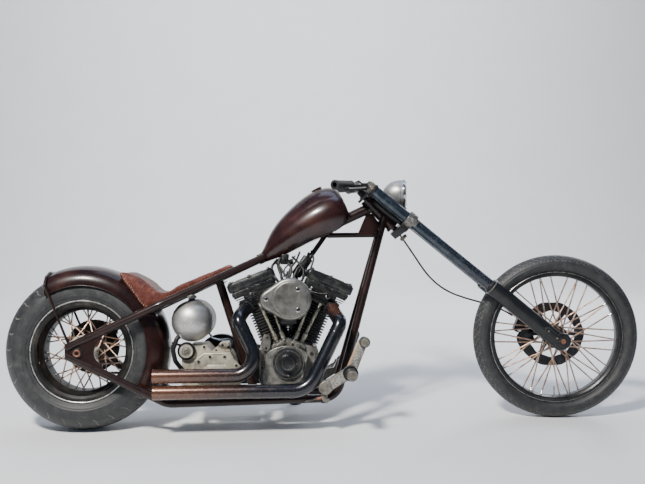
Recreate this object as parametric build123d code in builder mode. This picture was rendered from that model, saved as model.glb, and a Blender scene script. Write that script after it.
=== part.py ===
from build123d import *
import math
import os

# A long, low motorcycle: V-twin engine, rigid triangulated rear frame, raked
# front fork, spoked wheels.  Every piece is drawn upright in the bike frame
# (x forward, y to the left, z up, rear wheel centre above the origin, mm) and
# is then put into its parked place: fork turned a little to the right, whole
# bike leaning left on its side stand.

os.makedirs("parts", exist_ok=True)

# ----------------------------------------------------------------- dimensions
LEAN = 6.66                 # parked lean to the left, degrees
STEER = -6.9                # parked steering angle (negative = to the right)
WHEELBASE = 1975.0

REAR_Z = 328.5              # height of the rear axle in the upright frame
REAR_R = 327.0              # rear tyre outer radius
REAR_W = 220.0              # rear tyre width
REAR_CROWN_R = 118.9      # radius of the tread's crown
REAR_RIM_R = 203.0          # rim flange radius
REAR_RIM_W = 190.0
FRONT_R = 345.0             # front tyre outer radius
FRONT_W = 90.0
FRONT_CROWN_R = 47.351
FRONT_RIM_R = 275.0
FRONT_RIM_W = 62.0

NECK_RAKE = 43.0            # steering head angle from vertical
TREE_RAKE = 7.0             # extra rake of the fork tubes in the clamps
NECK_POINT = (1309.0, 0.0, 804.0)   # a point on the steering axis
NECK_LOW, NECK_HIGH = 22.0, 190.0   # head tube span along the axis
NECK_OR, NECK_BORE = 27.0, 12.75
STEM_R = 12.70
CLAMP_LOW_T, CLAMP_HIGH_T = 0.0, 212.0   # clamp middles along the axis
CLAMP_LOW_P, CLAMP_HIGH_P = 67.5, 41.7   # fork tubes ahead of the axis there
FORK_Y = 110.0              # half spacing of the fork tubes
FORK_TUBE_R = 24.5
SLIDER_R = 33.0
AXLE_R = 12.5
RUN = 0.05                  # radial running clearance

RAIL_R = 16.0               # frame tube radius
BACKBONE_R = 22.0
RAIL_SLOPE = 0.448          # rise of the top line per mm forward
RAIL_Z0 = 368.6             # height of the top line above the rear axle
RAIL_Y = 152.0              # half width of the rear frame
LOW_Z = 118.0               # height of the lower rails

CRANK = (838.5, 205.0)      # crank centre (x, z)
V_HALF = 22.5               # half angle of the V
V_TILT = 1.7                # the V leans forward a little, degrees
CYL_BASE, CYL_TOP, HEAD_TOP, COVER_TOP = 150.0, 328.0, 387.0, 445.0

PIPE_R, PIPE_BORE = 28.5, 26.0
BAR_R, GRIP_R = 12.7, 17.0
BAR_X, BAR_Z = 1145.5, 996.0    # straight middle of the handlebar
BAR_BEND_Y = 186.0
BAR_END = (1053.0, 335.0, 996.3)
BAR_BORE_R, BAR_BORE_L = 9.5, 50.0    # open ends of the handlebar tube

# ------------------------------------------------------------- helper vectors
rn = math.radians(NECK_RAKE)
rf = math.radians(NECK_RAKE + TREE_RAKE)
U = Vector(-math.sin(rn), 0, math.cos(rn))      # up the steering axis
P = Vector(math.cos(rn), 0, math.sin(rn))       # ahead of the steering axis
N0 = Vector(*NECK_POINT)
F = Vector(-math.sin(rf), 0, math.cos(rf))      # up the fork tubes
FP = Vector(math.cos(rf), 0, math.sin(rf))      # square to them, forward
FORK0 = N0 + U * CLAMP_LOW_T + P * CLAMP_LOW_P  # middle between the tubes at the lower clamp


def steer_point(t, p, y=0.0):
    return N0 + U * t + P * p + Vector(0, y, 0)


def fork_point(s, ahead=0.0, y=0.0):
    # s is measured down the fork from the lower clamp
    return FORK0 - F * s + FP * ahead + Vector(0, y, 0)


def rail_z(x):
    return RAIL_Z0 + RAIL_SLOPE * x


def torus_low(centre_z, normal_z, radius, crown):
    return centre_z - (radius - crown) * math.sqrt(1 - normal_z ** 2) - crown


# parked placement: steer about the neck axis, then lean about the ground line
NECK_PLANE = Plane(origin=NECK_POINT, z_dir=U, x_dir=P)
STEERED = NECK_PLANE.location * Location((0, 0, 0), (0, 0, STEER)) * NECK_PLANE.location.inverse()
LEANED = Location((0, 0, 0), (-LEAN, 0, 0))


def spot(loc, v):
    return (loc * Location((v.X, v.Y, v.Z))).position


# the front axle slides along the fork until both tyres stand on one floor
def front_low(s):
    c = fork_point(s, 9.0)
    a = spot(LEANED * STEERED, c)
    b = spot(LEANED * STEERED, c + Vector(0, 1, 0))
    n = (b - a).normalized()
    return torus_low(a.Z, n.Z, FRONT_R, FRONT_CROWN_R)


rear_c = spot(LEANED, Vector(0, 0, REAR_Z))
rear_n = spot(LEANED, Vector(0, 1, REAR_Z)) - rear_c
GROUND = torus_low(rear_c.Z, rear_n.Z, REAR_R, REAR_CROWN_R)
lo, hi = 700.0, 900.0
for _ in range(60):
    mid = (lo + hi) / 2
    if front_low(mid) > GROUND:
        lo = mid
    else:
        hi = mid
AXLE_S = (lo + hi) / 2
FRONT_C = fork_point(AXLE_S, 9.0)
REAR_C = Vector(0, 0, REAR_Z)


def ground_z(y):
    # height of the floor in the upright frame at a distance y to the left
    return (GROUND + y * math.sin(math.radians(LEAN))) / math.cos(math.radians(LEAN))


def cyl_plane(side, d, y=0.0):
    # plane across a cylinder at distance d from the crank; side -1 rear, +1 front
    a = math.radians(V_HALF + side * V_TILT)
    ax = Vector(side * math.sin(a), 0, math.cos(a))
    o = Vector(CRANK[0], y, CRANK[1]) + ax * d
    return Plane(origin=o, z_dir=ax, x_dir=Vector(math.cos(a), 0, -side * math.sin(a)))


# ================================================================ rear wheel
with BuildPart() as rear_tyre:
    with BuildSketch(Plane.YZ.offset(0)):
        with BuildLine():
            hw, fl = REAR_W / 2, REAR_RIM_R
            Polyline((-86, 190), (86, 190), (86, fl + 1), (93, fl + 8))
            ThreePointArc((93, fl + 8), (hw, 248), (104, 272))
            ThreePointArc((104, 272), (87, 291.5), (66, 307))
            ThreePointArc((66, 307), (0, REAR_R), (-66, 307))
            ThreePointArc((-66, 307), (-87, 291.5), (-104, 272))
            ThreePointArc((-104, 272), (-hw, 248), (-93, fl + 8))
            Polyline((-93, fl + 8), (-86, fl + 1), (-86, 190))
        make_face()
    revolve(axis=Axis.Y)
rear_tyre.part.move(Location((0, 0, REAR_Z)))

with BuildPart() as rear_rim:
    with BuildSketch(Plane.YZ):
        with BuildLine():
            Polyline((-95, 190), (-95, 203), (-86, 203), (-86, 190), (86, 190), (86, 203), (95, 203),
                     (95, 190), (88, 181), (60, 179), (40, 166), (-40, 166), (-60, 179), (-88, 181), (-95, 190))
        make_face()
    revolve(axis=Axis.Y)
rear_rim.part.move(Location((0, 0, REAR_Z)))

# hub: barrel with two spoke flanges, bored for the axle
with BuildPart() as rear_hub:
    with BuildSketch(Plane.YZ):
        with BuildLine():
            Polyline((-112, AXLE_R + RUN), (112, AXLE_R + RUN), (112, 30), (100, 30), (100, 42), (72, 42), (72, 62), (64, 62), (64, 36),
                     (-64, 36), (-64, 62), (-72, 62), (-72, 42), (-100, 42), (-100, 26), (-112, 26), (-112, AXLE_R + RUN))
        make_face()
    revolve(axis=Axis.Y)
    # final drive sprocket on the left end
    with BuildSketch(Plane.XZ.offset(-130)):
        Circle(108)
        Circle(28, mode=Mode.SUBTRACT)
        with PolarLocations(74, 6):
            Circle(22, mode=Mode.SUBTRACT)
    extrude(amount=6)
    with BuildSketch(Plane.XZ.offset(-128)):
        Circle(46)
        Circle(28, mode=Mode.SUBTRACT)
    extrude(amount=30)
rear_hub.part.move(Location((0, 0, REAR_Z)))

# laced spokes: hub flange y, hub radius, rim y, rim radius, swept angle
SPOKE_R = 3.0
REAR_SPOKES = [(side, lead, side * (68 + 4.5 * lead), side * (14 + 4.5 * lead)) for side in (-1, 1) for lead in (-1, 1)]
with BuildPart() as rear_spokes:
    for side, lead, hub_y, rim_y in REAR_SPOKES:
        for k in range(10):
            a = math.radians(36 * k + (0 if lead > 0 else 18) + (9 if side > 0 else 0))
            b = a + lead * math.radians(52)
            h = Vector(58 * math.cos(a), hub_y, REAR_Z + 58 * math.sin(a))
            r = Vector(167.5 * math.cos(b), rim_y, REAR_Z + 167.5 * math.sin(b))
            with BuildSketch(Plane(origin=h, z_dir=r - h)):
                Circle(SPOKE_R)
            extrude(amount=(r - h).length)

# ==================================================================== frame
with BuildPart() as neck:
    with BuildSketch(Plane(origin=steer_point(NECK_LOW, 0), z_dir=U)):
        Circle(NECK_OR)
    extrude(amount=NECK_HIGH - NECK_LOW)
    for t in (NECK_LOW, NECK_HIGH - 13):
        with BuildSketch(Plane(origin=steer_point(t, 0), z_dir=U)):
            Circle(NECK_OR + 4)
        extrude(amount=13)
    with BuildSketch(Plane(origin=steer_point(NECK_LOW, 0), z_dir=U)):
        Circle(NECK_BORE)
    extrude(amount=NECK_HIGH - NECK_LOW, mode=Mode.SUBTRACT)

with BuildPart() as backbone:
    with BuildSketch(Plane(origin=(716, 0, rail_z(716)), z_dir=(1, 0, RAIL_SLOPE))):
        Circle(BACKBONE_R)
    extrude(amount=(1216 - 716) * math.hypot(1, RAIL_SLOPE))
    add(neck.part, mode=Mode.SUBTRACT)
    with BuildSketch(Plane(origin=steer_point(NECK_LOW, 0), z_dir=U)):
        Circle(NECK_OR - 1)
    extrude(amount=NECK_HIGH - NECK_LOW, mode=Mode.SUBTRACT)

# upper rails: straight beside the wheel, then converging on the backbone
with BuildPart() as upper_rails:
    for side in (-1, 1):
        with BuildLine() as path:
            FilletPolyline((-46, side * RAIL_Y, rail_z(-46)), (322, side * RAIL_Y, rail_z(322)),
                           (742, side * 26, rail_z(742)), radius=140)
        with BuildSketch(Plane(origin=path.line @ 0, z_dir=path.line % 0)):
            Circle(RAIL_R)
        sweep()
    add(backbone.part, mode=Mode.SUBTRACT)

# down tubes: from the neck to under the engine
with BuildPart() as down_tubes:
    for side in (-1, 1):
        with BuildLine() as path:
            FilletPolyline((1254, side * 20, 868), (1033, side * 106, LOW_Z), (905, side * 112, LOW_Z), radius=80)
        with BuildSketch(Plane(origin=path.line @ 0, z_dir=path.line % 0)):
            Circle(RAIL_R)
        sweep()
    add(neck.part, mode=Mode.SUBTRACT)
    with BuildSketch(Plane(origin=steer_point(NECK_LOW, 0), z_dir=U)):
        Circle(NECK_OR - 1)
    extrude(amount=NECK_HIGH - NECK_LOW, mode=Mode.SUBTRACT)
    with BuildSketch(Plane.XZ):
        with Locations((1250, 870)):
            Rectangle(90, 90)
    extrude(amount=0.3, both=True, mode=Mode.SUBTRACT)

with BuildPart() as lower_rails:
    for side in (-1, 1):
        with BuildLine() as path:
            FilletPolyline((905, side * 112, LOW_Z), (352, side * RAIL_Y, LOW_Z), (-46, side * RAIL_Y, LOW_Z + 398 * 0.5057), radius=90)
        with BuildSketch(Plane(origin=path.line @ 0, z_dir=path.line % 0)):
            Circle(RAIL_R)
        sweep()
    add(down_tubes.part, mode=Mode.SUBTRACT)
    add(upper_rails.part, mode=Mode.SUBTRACT)

# plates between the ends of the rails, carrying the rear axle
with BuildPart() as axle_plates:
    for y in (-RAIL_Y + 7, RAIL_Y + 7):
        with BuildSketch(Plane.XZ.offset(-y)):
            with BuildLine():
                Polyline((-50, rail_z(-50)), (-50, LOW_Z + 402 * 0.5057), (96, LOW_Z + 256 * 0.5057), (96, rail_z(96)), (-50, rail_z(-50)))
            make_face()
            with Locations((118, 330)):
                Circle(54, mode=Mode.SUBTRACT)
        extrude(amount=14)
    # the axle with its two nuts
    for y0, r, length in ((-172, AXLE_R, 344), (-170, 16, 11), (159, 16, 11)):
        with BuildSketch(Plane.XZ.offset(-y0 - length)):
            with Locations((0, REAR_Z)):
                Circle(r)
        extrude(amount=length)
    for piece in (upper_rails, lower_rails):
        add(piece.part, mode=Mode.SUBTRACT)

# x, z and half length, each ending on the middle lines of the rails
CROSS = [(700.0, LOW_Z, 126.8), (445.0, LOW_Z, 145.2), (548.0, rail_z(548.0), 84.2)]
with BuildPart() as centre_frame:
    for x, z, half in CROSS:
        with BuildSketch(Plane.XZ.offset(-half)):
            with Locations((x, z)):
                Circle(13)
        extrude(amount=2 * half)
    with BuildSketch(Plane(origin=(700, 0, LOW_Z), z_dir=(548 - 700, 0, rail_z(548) - LOW_Z))):
        Circle(18)
    extrude(amount=math.hypot(152, rail_z(548) - LOW_Z))
    for piece in (lower_rails, upper_rails):
        add(piece.part, mode=Mode.SUBTRACT)

# brace under the neck: level tube and the gusset plate over it
with BuildPart() as neck_brace:
    with BuildSketch(Plane.YZ.offset(1010)):
        with Locations((0, 789)):
            Circle(11)
    extrude(amount=226)
    add(backbone.part, mode=Mode.SUBTRACT)
    add(down_tubes.part, mode=Mode.SUBTRACT)
    with BuildSketch(Plane.XZ):
        with BuildLine():
            Polyline((1140, 793), (1228, 793), (1238, 832), (1203, 880), (1178, 878), (1140, 793))
        make_face()
    extrude(amount=4, both=True)
    for piece in (backbone, neck, down_tubes):
        add(piece.part, mode=Mode.SUBTRACT)

# =============================================================== bodywork
# fender: a section of lines and arcs turned about the rear axle
with BuildPart() as rear_fender:
    with BuildSketch(Plane.YZ):
        with BuildLine():
            ThreePointArc((119.5, 268), (111.8, 304), (88, 331))
            ThreePointArc((88, 331), (0, 349), (-88, 331))
            ThreePointArc((-88, 331), (-111.8, 304), (-119.5, 268))
            Line((-119.5, 268), (-116.5, 268))
            ThreePointArc((-116.5, 268), (-109.0, 302.6), (-86.3, 328.4))
            ThreePointArc((-86.3, 328.4), (0, 346), (86.3, 328.4))
            ThreePointArc((86.3, 328.4), (109.0, 302.6), (116.5, 268))
            Line((116.5, 268), (119.5, 268))
        make_face()
    revolve(axis=Axis.Y, revolution_arc=156)
# turn the arc so that it runs from low behind the gearbox over the top to the back, and cut the end upright
rear_fender.part.move(Location((0, 0, REAR_Z), (0, -32.0 , 0)))
with BuildPart() as fender_end:
    with BuildSketch(Plane.XZ.offset(-160)):
        with BuildLine():
            Polyline((-149, REAR_Z + 360), (-147, REAR_Z + 316), (-138, REAR_Z + 230), (-138, REAR_Z + 140), (-300, REAR_Z + 140),
                     (-300, REAR_Z + 360), (-149, REAR_Z + 360))
        make_face()
    extrude(amount=320)
with BuildPart() as rear_fender_cut:
    add(rear_fender.part)
    add(fender_end.part, mode=Mode.SUBTRACT)
rear_fender = rear_fender_cut

# stay rod that hoops over the fender's rear end
with BuildPart() as fender_stay:
    with BuildLine() as path:
        FilletPolyline((-30, -142, REAR_Z + 10), (-137.5, -130, REAR_Z + 275.5), (-141, -94, REAR_Z + 303.5), (-141, -40, REAR_Z + 322), (-141, 40, REAR_Z + 322),
                       (-141, 94, REAR_Z + 303.5), (-137.5, 130, REAR_Z + 275.5), (-30, 142, REAR_Z + 10), radius=14)
    with BuildSketch(Plane(origin=path.line @ 0, z_dir=path.line % 0)):
        Circle(5.0)
    sweep()
    for piece in (axle_plates, upper_rails, rear_fender):
        add(piece.part, mode=Mode.SUBTRACT)

# fuel tank, in a frame that runs along the backbone: s forward, h up
TANK_PLANE = Plane(origin=(745, 0, 676), x_dir=(0, 1, 0), z_dir=(1, 0, RAIL_SLOPE))
# s, bottom h, top h, half width
TANK_SECTIONS = [(2, 2, 46, 26), (55, -2, 90, 62), (150, -2, 148, 98), (265, -2, 184, 120),
                 (345, -2, 187, 120), (388, 12, 172, 104), (408, 42, 146, 70)]
with BuildPart() as fuel_tank:
    for s, h0, h1, w in TANK_SECTIONS:
        dh = h1 - h0
        with BuildSketch(TANK_PLANE.offset(s)):
            with BuildLine():
                Line((-0.72 * w, h0), (0.72 * w, h0))
                ThreePointArc((0.72 * w, h0), (w, h0 + 0.34 * dh), (0.80 * w, h0 + 0.70 * dh))
                ThreePointArc((0.80 * w, h0 + 0.70 * dh), (0, h1), (-0.80 * w, h0 + 0.70 * dh))
                ThreePointArc((-0.80 * w, h0 + 0.70 * dh), (-w, h0 + 0.34 * dh), (-0.72 * w, h0))
            make_face()
    loft()
    # tunnel for the backbone
    with BuildSketch(TANK_PLANE.offset(-20)):
        with Locations((0, 0)):
            Rectangle(2 * (BACKBONE_R + 1), 50)
        with Locations((0, 24)):
            Circle(BACKBONE_R + 1)
    extrude(amount=480, mode=Mode.SUBTRACT)
    add(upper_rails.part, mode=Mode.SUBTRACT)
    # filler cap
    with BuildSketch(Plane(origin=Vector(745, 0, 676) + Vector(1, 0, RAIL_SLOPE).normalized() * 330
                           + Vector(-RAIL_SLOPE, 0, 1).normalized() * 180, z_dir=(-RAIL_SLOPE, 0, 1))):
        Circle(24)
    extrude(amount=15)

# seat: side profile, cut by the plan shape, hollowed by the fender
with BuildPart() as seat:
    with BuildSketch(Plane.XZ):
        with BuildLine():
            Polyline((158, 640), (166, 652), (196, 640))
            ThreePointArc((196, 640), (262, 601), (300, 566))
            ThreePointArc((300, 566), (330, 557), (386, 580))
            Polyline((386, 580), (513, 634), (606, 672), (616, 666), (292, 500), (262, 490), (158, 640))
        make_face()
    extrude(amount=131, both=True)
    with BuildSketch(Plane.XY.offset(400)):
        with BuildLine():
            Polyline((150, -124), (290, -131), (340, -129), (616, -36), (616, 36), (340, 129), (290, 131), (150, 124), (150, -124))
        make_face()
    extrude(amount=400, mode=Mode.INTERSECT)

with BuildPart() as fender_void:
    with BuildSketch(Plane.YZ):
        with BuildLine():
            Polyline((122, 0), (122, 268))
            ThreePointArc((122, 268), (113.4, 304.6), (88.6, 332))
            ThreePointArc((88.6, 332), (0, 350), (-88.6, 332))
            ThreePointArc((-88.6, 332), (-113.4, 304.6), (-122, 268))
            Polyline((-122, 268), (-122, 0), (122, 0))
        make_face()
    revolve(axis=Axis.Y)
fender_void.part.move(Location((0, 0, REAR_Z)))

with BuildPart() as seat_cut:
    add(seat.part)
    add(fender_void.part, mode=Mode.SUBTRACT)
    with BuildSketch(Plane.XZ.offset(-160)):
        with BuildLine():
            Polyline((250, rail_z(250) - 60), (250, rail_z(250) + 4), (640, rail_z(640) + 4), (640, rail_z(640) - 60), (250, rail_z(250) - 60))
        make_face()
    extrude(amount=320, mode=Mode.SUBTRACT)
    add(centre_frame.part, mode=Mode.SUBTRACT)
    add(upper_rails.part, mode=Mode.SUBTRACT)
seat = seat_cut

# =============================================================== engine
a = math.radians(V_HALF)
with BuildPart() as crankcase:
    with BuildSketch(Plane.XZ.offset(-85)):
        with BuildLine():
            Polyline((716, 317), (CRANK[0], 367), (961, 317), (958, 200), (905, 112), (772, 112), (719, 200), (716, 317))
        make_face()
    extrude(amount=170)
    # flats for the cylinder bases
    for side in (-1, 1):
        with BuildSketch(cyl_plane(side, CYL_BASE)):
            Rectangle(400, 400)
        extrude(amount=200, mode=Mode.SUBTRACT)
    add(centre_frame.part, mode=Mode.SUBTRACT)

FIN_PITCH, FIN_T, FIN_COUNT = 12.0, 4.0, 15
with BuildPart() as cylinders:
    for side in (-1, 1):
        with BuildSketch(cyl_plane(side, CYL_BASE)):
            Circle(49)
        extrude(amount=CYL_TOP - CYL_BASE)
        for k in range(FIN_COUNT):
            with BuildSketch(cyl_plane(side, CYL_BASE + 5 + k * FIN_PITCH)):
                RectangleRounded(118, 132, 30)
            extrude(amount=FIN_T)
        # the head
        with BuildSketch(cyl_plane(side, CYL_TOP)):
            RectangleRounded(124, 140, 16)
        extrude(amount=10)
        with BuildSketch(cyl_plane(side, CYL_TOP + 10)):
            RectangleRounded(108, 124, 14)
        extrude(amount=HEAD_TOP - CYL_TOP - 20)
        for k in range(4):
            with BuildSketch(cyl_plane(side, CYL_TOP + 14 + k * 9)):
                RectangleRounded(142 + 12 * k, 148 + 3 * k, 18)
            extrude(amount=4)
        with BuildSketch(cyl_plane(side, HEAD_TOP - 10)):
            RectangleRounded(184, 162, 14)
        extrude(amount=10)

# layered rocker covers
with BuildPart() as rocker_covers:
    for side in (-1, 1):
        for d0, d1, lx, ly in ((HEAD_TOP, 402, 192, 164), (402, 406, 186, 158), (406, 440, 204, 170), (440, COVER_TOP, 194, 160)):
            with BuildSketch(cyl_plane(side, d0)):
                RectangleRounded(lx, ly, 14)
            extrude(amount=d1 - d0)

# right-hand cover of the timing gears with its round nose
with BuildPart() as cam_cover:
    with BuildSketch(Plane.XZ.offset(85)):
        with BuildLine():
            Polyline((752, 308), (730, 190), (745, 168), (882, 168), (915, 300))
            ThreePointArc((915, 300), (836, 333), (752, 308))
        make_face()
    extrude(amount=40)
    with BuildSketch(Plane.XZ.offset(125)):
        with Locations((835, 268)):
            Circle(64)
    extrude(amount=12)
    with BuildSketch(Plane.XZ.offset(137)):
        with Locations((835, 268)):
            Circle(33)
    extrude(amount=20, taper=8)

with BuildPart() as pushrod_tubes:
    for x0, z0, x1, z1 in ((794, 346, 721, 511), (822, 353, 763, 527), (891, 344, 974, 504), (863, 351, 933, 522)):
        lo_p, hi_p = Vector(x0, -79, z0), Vector(x1, -79, z1)
        with BuildSketch(Plane(origin=lo_p, z_dir=hi_p - lo_p)):
            Circle(6.5)
        extrude(amount=(hi_p - lo_p).length)
        with BuildSketch(Plane(origin=lo_p + (hi_p - lo_p).normalized() * 14, z_dir=hi_p - lo_p)):
            Circle(9.5)
        extrude(amount=26)
    for piece in (crankcase, cylinders):
        add(piece.part, mode=Mode.SUBTRACT)

# round air-cleaner cover with a lobe to the rear
with BuildPart() as air_cleaner:
    with BuildSketch(Plane.XZ.offset(122)):
        with BuildLine():
            cx, cz, cr, lx, lz, lr = 848.0, 527.0, 86.0, 768.0, 524.0, 43.0
            d = math.hypot(cx - lx, cz - lz)
            tilt = math.atan2(lz - cz, lx - cx)
            off = math.acos((cr - lr) / d)
            q = [(cx + cr * math.cos(tilt - off), cz + cr * math.sin(tilt - off)), (lx + lr * math.cos(tilt - off), lz + lr * math.sin(tilt - off)),
                 (lx + lr * math.cos(tilt), lz + lr * math.sin(tilt)),
                 (lx + lr * math.cos(tilt + off), lz + lr * math.sin(tilt + off)), (cx + cr * math.cos(tilt + off), cz + cr * math.sin(tilt + off)),
                 (cx - cr * math.cos(tilt), cz - cr * math.sin(tilt))]
            Line(q[0], q[1])
            ThreePointArc(q[1], q[2], q[3])
            Line(q[3], q[4])
            ThreePointArc(q[4], q[5], q[0])
        make_face()
    extrude(amount=66)
    fillet(air_cleaner.faces().sort_by(Axis.Y)[0].edges(), radius=14)
    # carburettor and intake branch behind it, between the cylinders
    with BuildSketch(Plane.XZ.offset(-24)):
        with Locations((CRANK[0], 500)):
            Circle(30)
    extrude(amount=146)
    with BuildSketch(Plane.XZ.offset(-20)):
        with Locations((CRANK[0], 500)):
            Rectangle(170, 44)
    extrude(amount=40)
    for piece in (cylinders, pushrod_tubes):
        add(piece.part, mode=Mode.SUBTRACT)

# exhausts: bent tubes, open at the back
REAR_PIPE = [(676, -44, 508), (636, -155, 448), (738, -190, 229), (302, -194, 233)]
FRONT_PIPE = [(1010, -44, 500), (1050, -155, 428), (913, -194, 164), (302, -194, 169)]
with BuildPart() as exhaust_rear:
    with BuildLine() as path:
        FilletPolyline(*REAR_PIPE, radius=[34, 74])
    with BuildSketch(Plane(origin=path.line @ 0, z_dir=path.line % 0)):
        Circle(PIPE_R)
        Circle(PIPE_BORE, mode=Mode.SUBTRACT)
    sweep()
    for piece in (cylinders, rocker_covers, pushrod_tubes):
        add(piece.part, mode=Mode.SUBTRACT)
with BuildPart() as exhaust_front:
    with BuildLine() as path:
        FilletPolyline(*FRONT_PIPE, radius=[34, 100])
    with BuildSketch(Plane(origin=path.line @ 0, z_dir=path.line % 0)):
        Circle(PIPE_R)
        Circle(PIPE_BORE, mode=Mode.SUBTRACT)
    sweep()
    for piece in (cylinders, rocker_covers, pushrod_tubes):
        add(piece.part, mode=Mode.SUBTRACT)

# link from the heads up to the backbone
with BuildPart() as top_mount:
    with BuildSketch(Plane.YZ.offset(726)):
        with Locations((0, 575)):
            Rectangle(20, 22)
    extrude(amount=211)
    with BuildSketch(Plane(origin=(845, 0, 575), z_dir=(1010 - 845, 0, 800 - 575))):
        Rectangle(20, 26)
    extrude(amount=math.hypot(165, 225))
    for piece in (cylinders, rocker_covers, backbone, neck_brace):
        add(piece.part, mode=Mode.SUBTRACT)

# gearbox with its right side cover, clutch release housing, and drive sprocket
with BuildPart() as gearbox:
    with BuildSketch(Plane.XZ.offset(-88)):
        with BuildLine():
            Polyline((402, 180), (402, 300), (436, 344), (500, 344), (524, 318), (600, 310), (612, 290), (640, 180), (402, 180))
        make_face()
    extrude(amount=176)
    with BuildSketch(Plane.XZ.offset(-133)):
        with Locations((500, 242)):
            Circle(34)
    extrude(amount=50)
    with BuildSketch(Plane.XZ.offset(88)):
        with Locations((423, 322)):
            Circle(27)
    extrude(amount=24)
    for piece in (centre_frame,):
        add(piece.part, mode=Mode.SUBTRACT)

with BuildPart() as gearbox_cover:
    with BuildSketch(Plane.XZ.offset(88)):
        with BuildLine():
            Polyline((460, 205), (460, 284), (498, 311), (592, 309), (640, 258), (640, 205), (460, 205))
        make_face()
    extrude(amount=36)
    with BuildSketch(Plane.XZ.offset(-40)):
        with BuildLine():
            Polyline((526, 316), (558, 350), (592, 350), (596, 312), (526, 316))
        make_face()
    extrude(amount=100)
    for piece in (gearbox, centre_frame):
        add(piece.part, mode=Mode.SUBTRACT)

# primary drive cover on the left, standing on two bosses
with BuildPart() as primary_cover:
    with BuildSketch(Plane.XZ.offset(-182)):
        with BuildLine():
            Polyline((545, 370), (838, 281), (838, 149), (545, 154), (545, 370))
        make_face()
        with Locations((838, 215)):
            Circle(66)
        with Locations((545, 262)):
            Circle(108)
    extrude(amount=44)
    with BuildSketch(Plane.XZ.offset(-138)):
        with Locations((838, 215)):
            Circle(44)
    extrude(amount=53)
    with BuildSketch(Plane.XZ.offset(-138)):
        with Locations((572, 262)):
            Circle(26)
    extrude(amount=50)
    add(gearbox.part, mode=Mode.SUBTRACT)

# chain: one closed band around both sprockets
with BuildPart() as drive_chain:
    with BuildSketch(Plane.XZ.offset(-133)) as band:
        x1, z1, r1, x2, z2, r2 = 0.0, REAR_Z, 116.0, 500.0, 242.0, 43.0
        for shrink, mode in ((0.0, Mode.ADD), (7.4, Mode.SUBTRACT)):
            d = math.hypot(x2 - x1, z2 - z1)
            tilt = math.atan2(z2 - z1, x2 - x1)
            off = math.acos((r1 - r2) / d)
            g1, g2 = r1 - shrink, r2 - shrink
            q = [(x1 + g1 * math.cos(tilt + off), z1 + g1 * math.sin(tilt + off)), (x2 + g2 * math.cos(tilt + off), z2 + g2 * math.sin(tilt + off)),
                 (x2 + g2 * math.cos(tilt), z2 + g2 * math.sin(tilt)),
                 (x2 + g2 * math.cos(tilt - off), z2 + g2 * math.sin(tilt - off)), (x1 + g1 * math.cos(tilt - off), z1 + g1 * math.sin(tilt - off)),
                 (x1 - g1 * math.cos(tilt), z1 - g1 * math.sin(tilt))]
            with BuildLine():
                Line(q[0], q[1])
                ThreePointArc(q[1], q[2], q[3])
                Line(q[3], q[4])
                ThreePointArc(q[4], q[5], q[0])
            make_face(mode=mode)
    extrude(amount=12)
    add(gearbox.part, mode=Mode.SUBTRACT)

# oil tank: drum across the bike with domed ends, and its filler
with BuildPart() as oil_tank:
    with BuildSketch(Plane.YZ):
        with BuildLine():
            Polyline((-150, 8), (-150, 0), (150, 0), (150, 8))
            ThreePointArc((150, 8), (131, 58), (90, 84))
            Line((90, 84), (-90, 84))
            ThreePointArc((-90, 84), (-131, 58), (-150, 8))
        make_face()
    revolve(axis=Axis.Y)
    with BuildSketch(Plane.XY.offset(80)):
        with Locations((-3, -62)):
            Circle(11)
    extrude(amount=14)
    with BuildSketch(Plane.XY.offset(94)):
        with Locations((-3, -62)):
            Circle(19)
    extrude(amount=12)
oil_tank.part.move(Location((446, 0, 443)))

# =============================================================== foot controls
# side, rearmost boss, peg boss and pedal end
with BuildPart() as foot_controls:
    for side in (-1, 1):
        y0 = 172.0
        # hanger tube from the lower rail
        with BuildSketch(Plane(origin=(982, side * 112, LOW_Z), z_dir=(0, side * 60, 56))):
            Circle(12)
        extrude(amount=math.hypot(60, 56))
        for x, z, r, ya, yb in ((982, 174, 26, 166, 204), (1082, 231, 22, 168, 200), (1082, 231, 20, 196, 300), (1139, 354, 18, 180, 250)):
            with BuildSketch(Plane(origin=(x, side * ya, z), z_dir=(0, side, 0))):
                Circle(r)
            extrude(amount=yb - ya)
        with BuildSketch(Plane.XZ.offset(-side * y0)):
            with BuildLine():
                Polyline((974, 196), (990, 151), (1092, 212), (1074, 252), (974, 196))
            make_face()
        extrude(amount=-side * 22)
        with BuildSketch(Plane.XZ.offset(-side * y0)):
            with BuildLine():
                Polyline((1068, 236), (1104, 222), (1156, 348), (1122, 360), (1068, 236))
            make_face()
        extrude(amount=-side * 14)
    for piece in (down_tubes, lower_rails):
        add(piece.part, mode=Mode.SUBTRACT)

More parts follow.
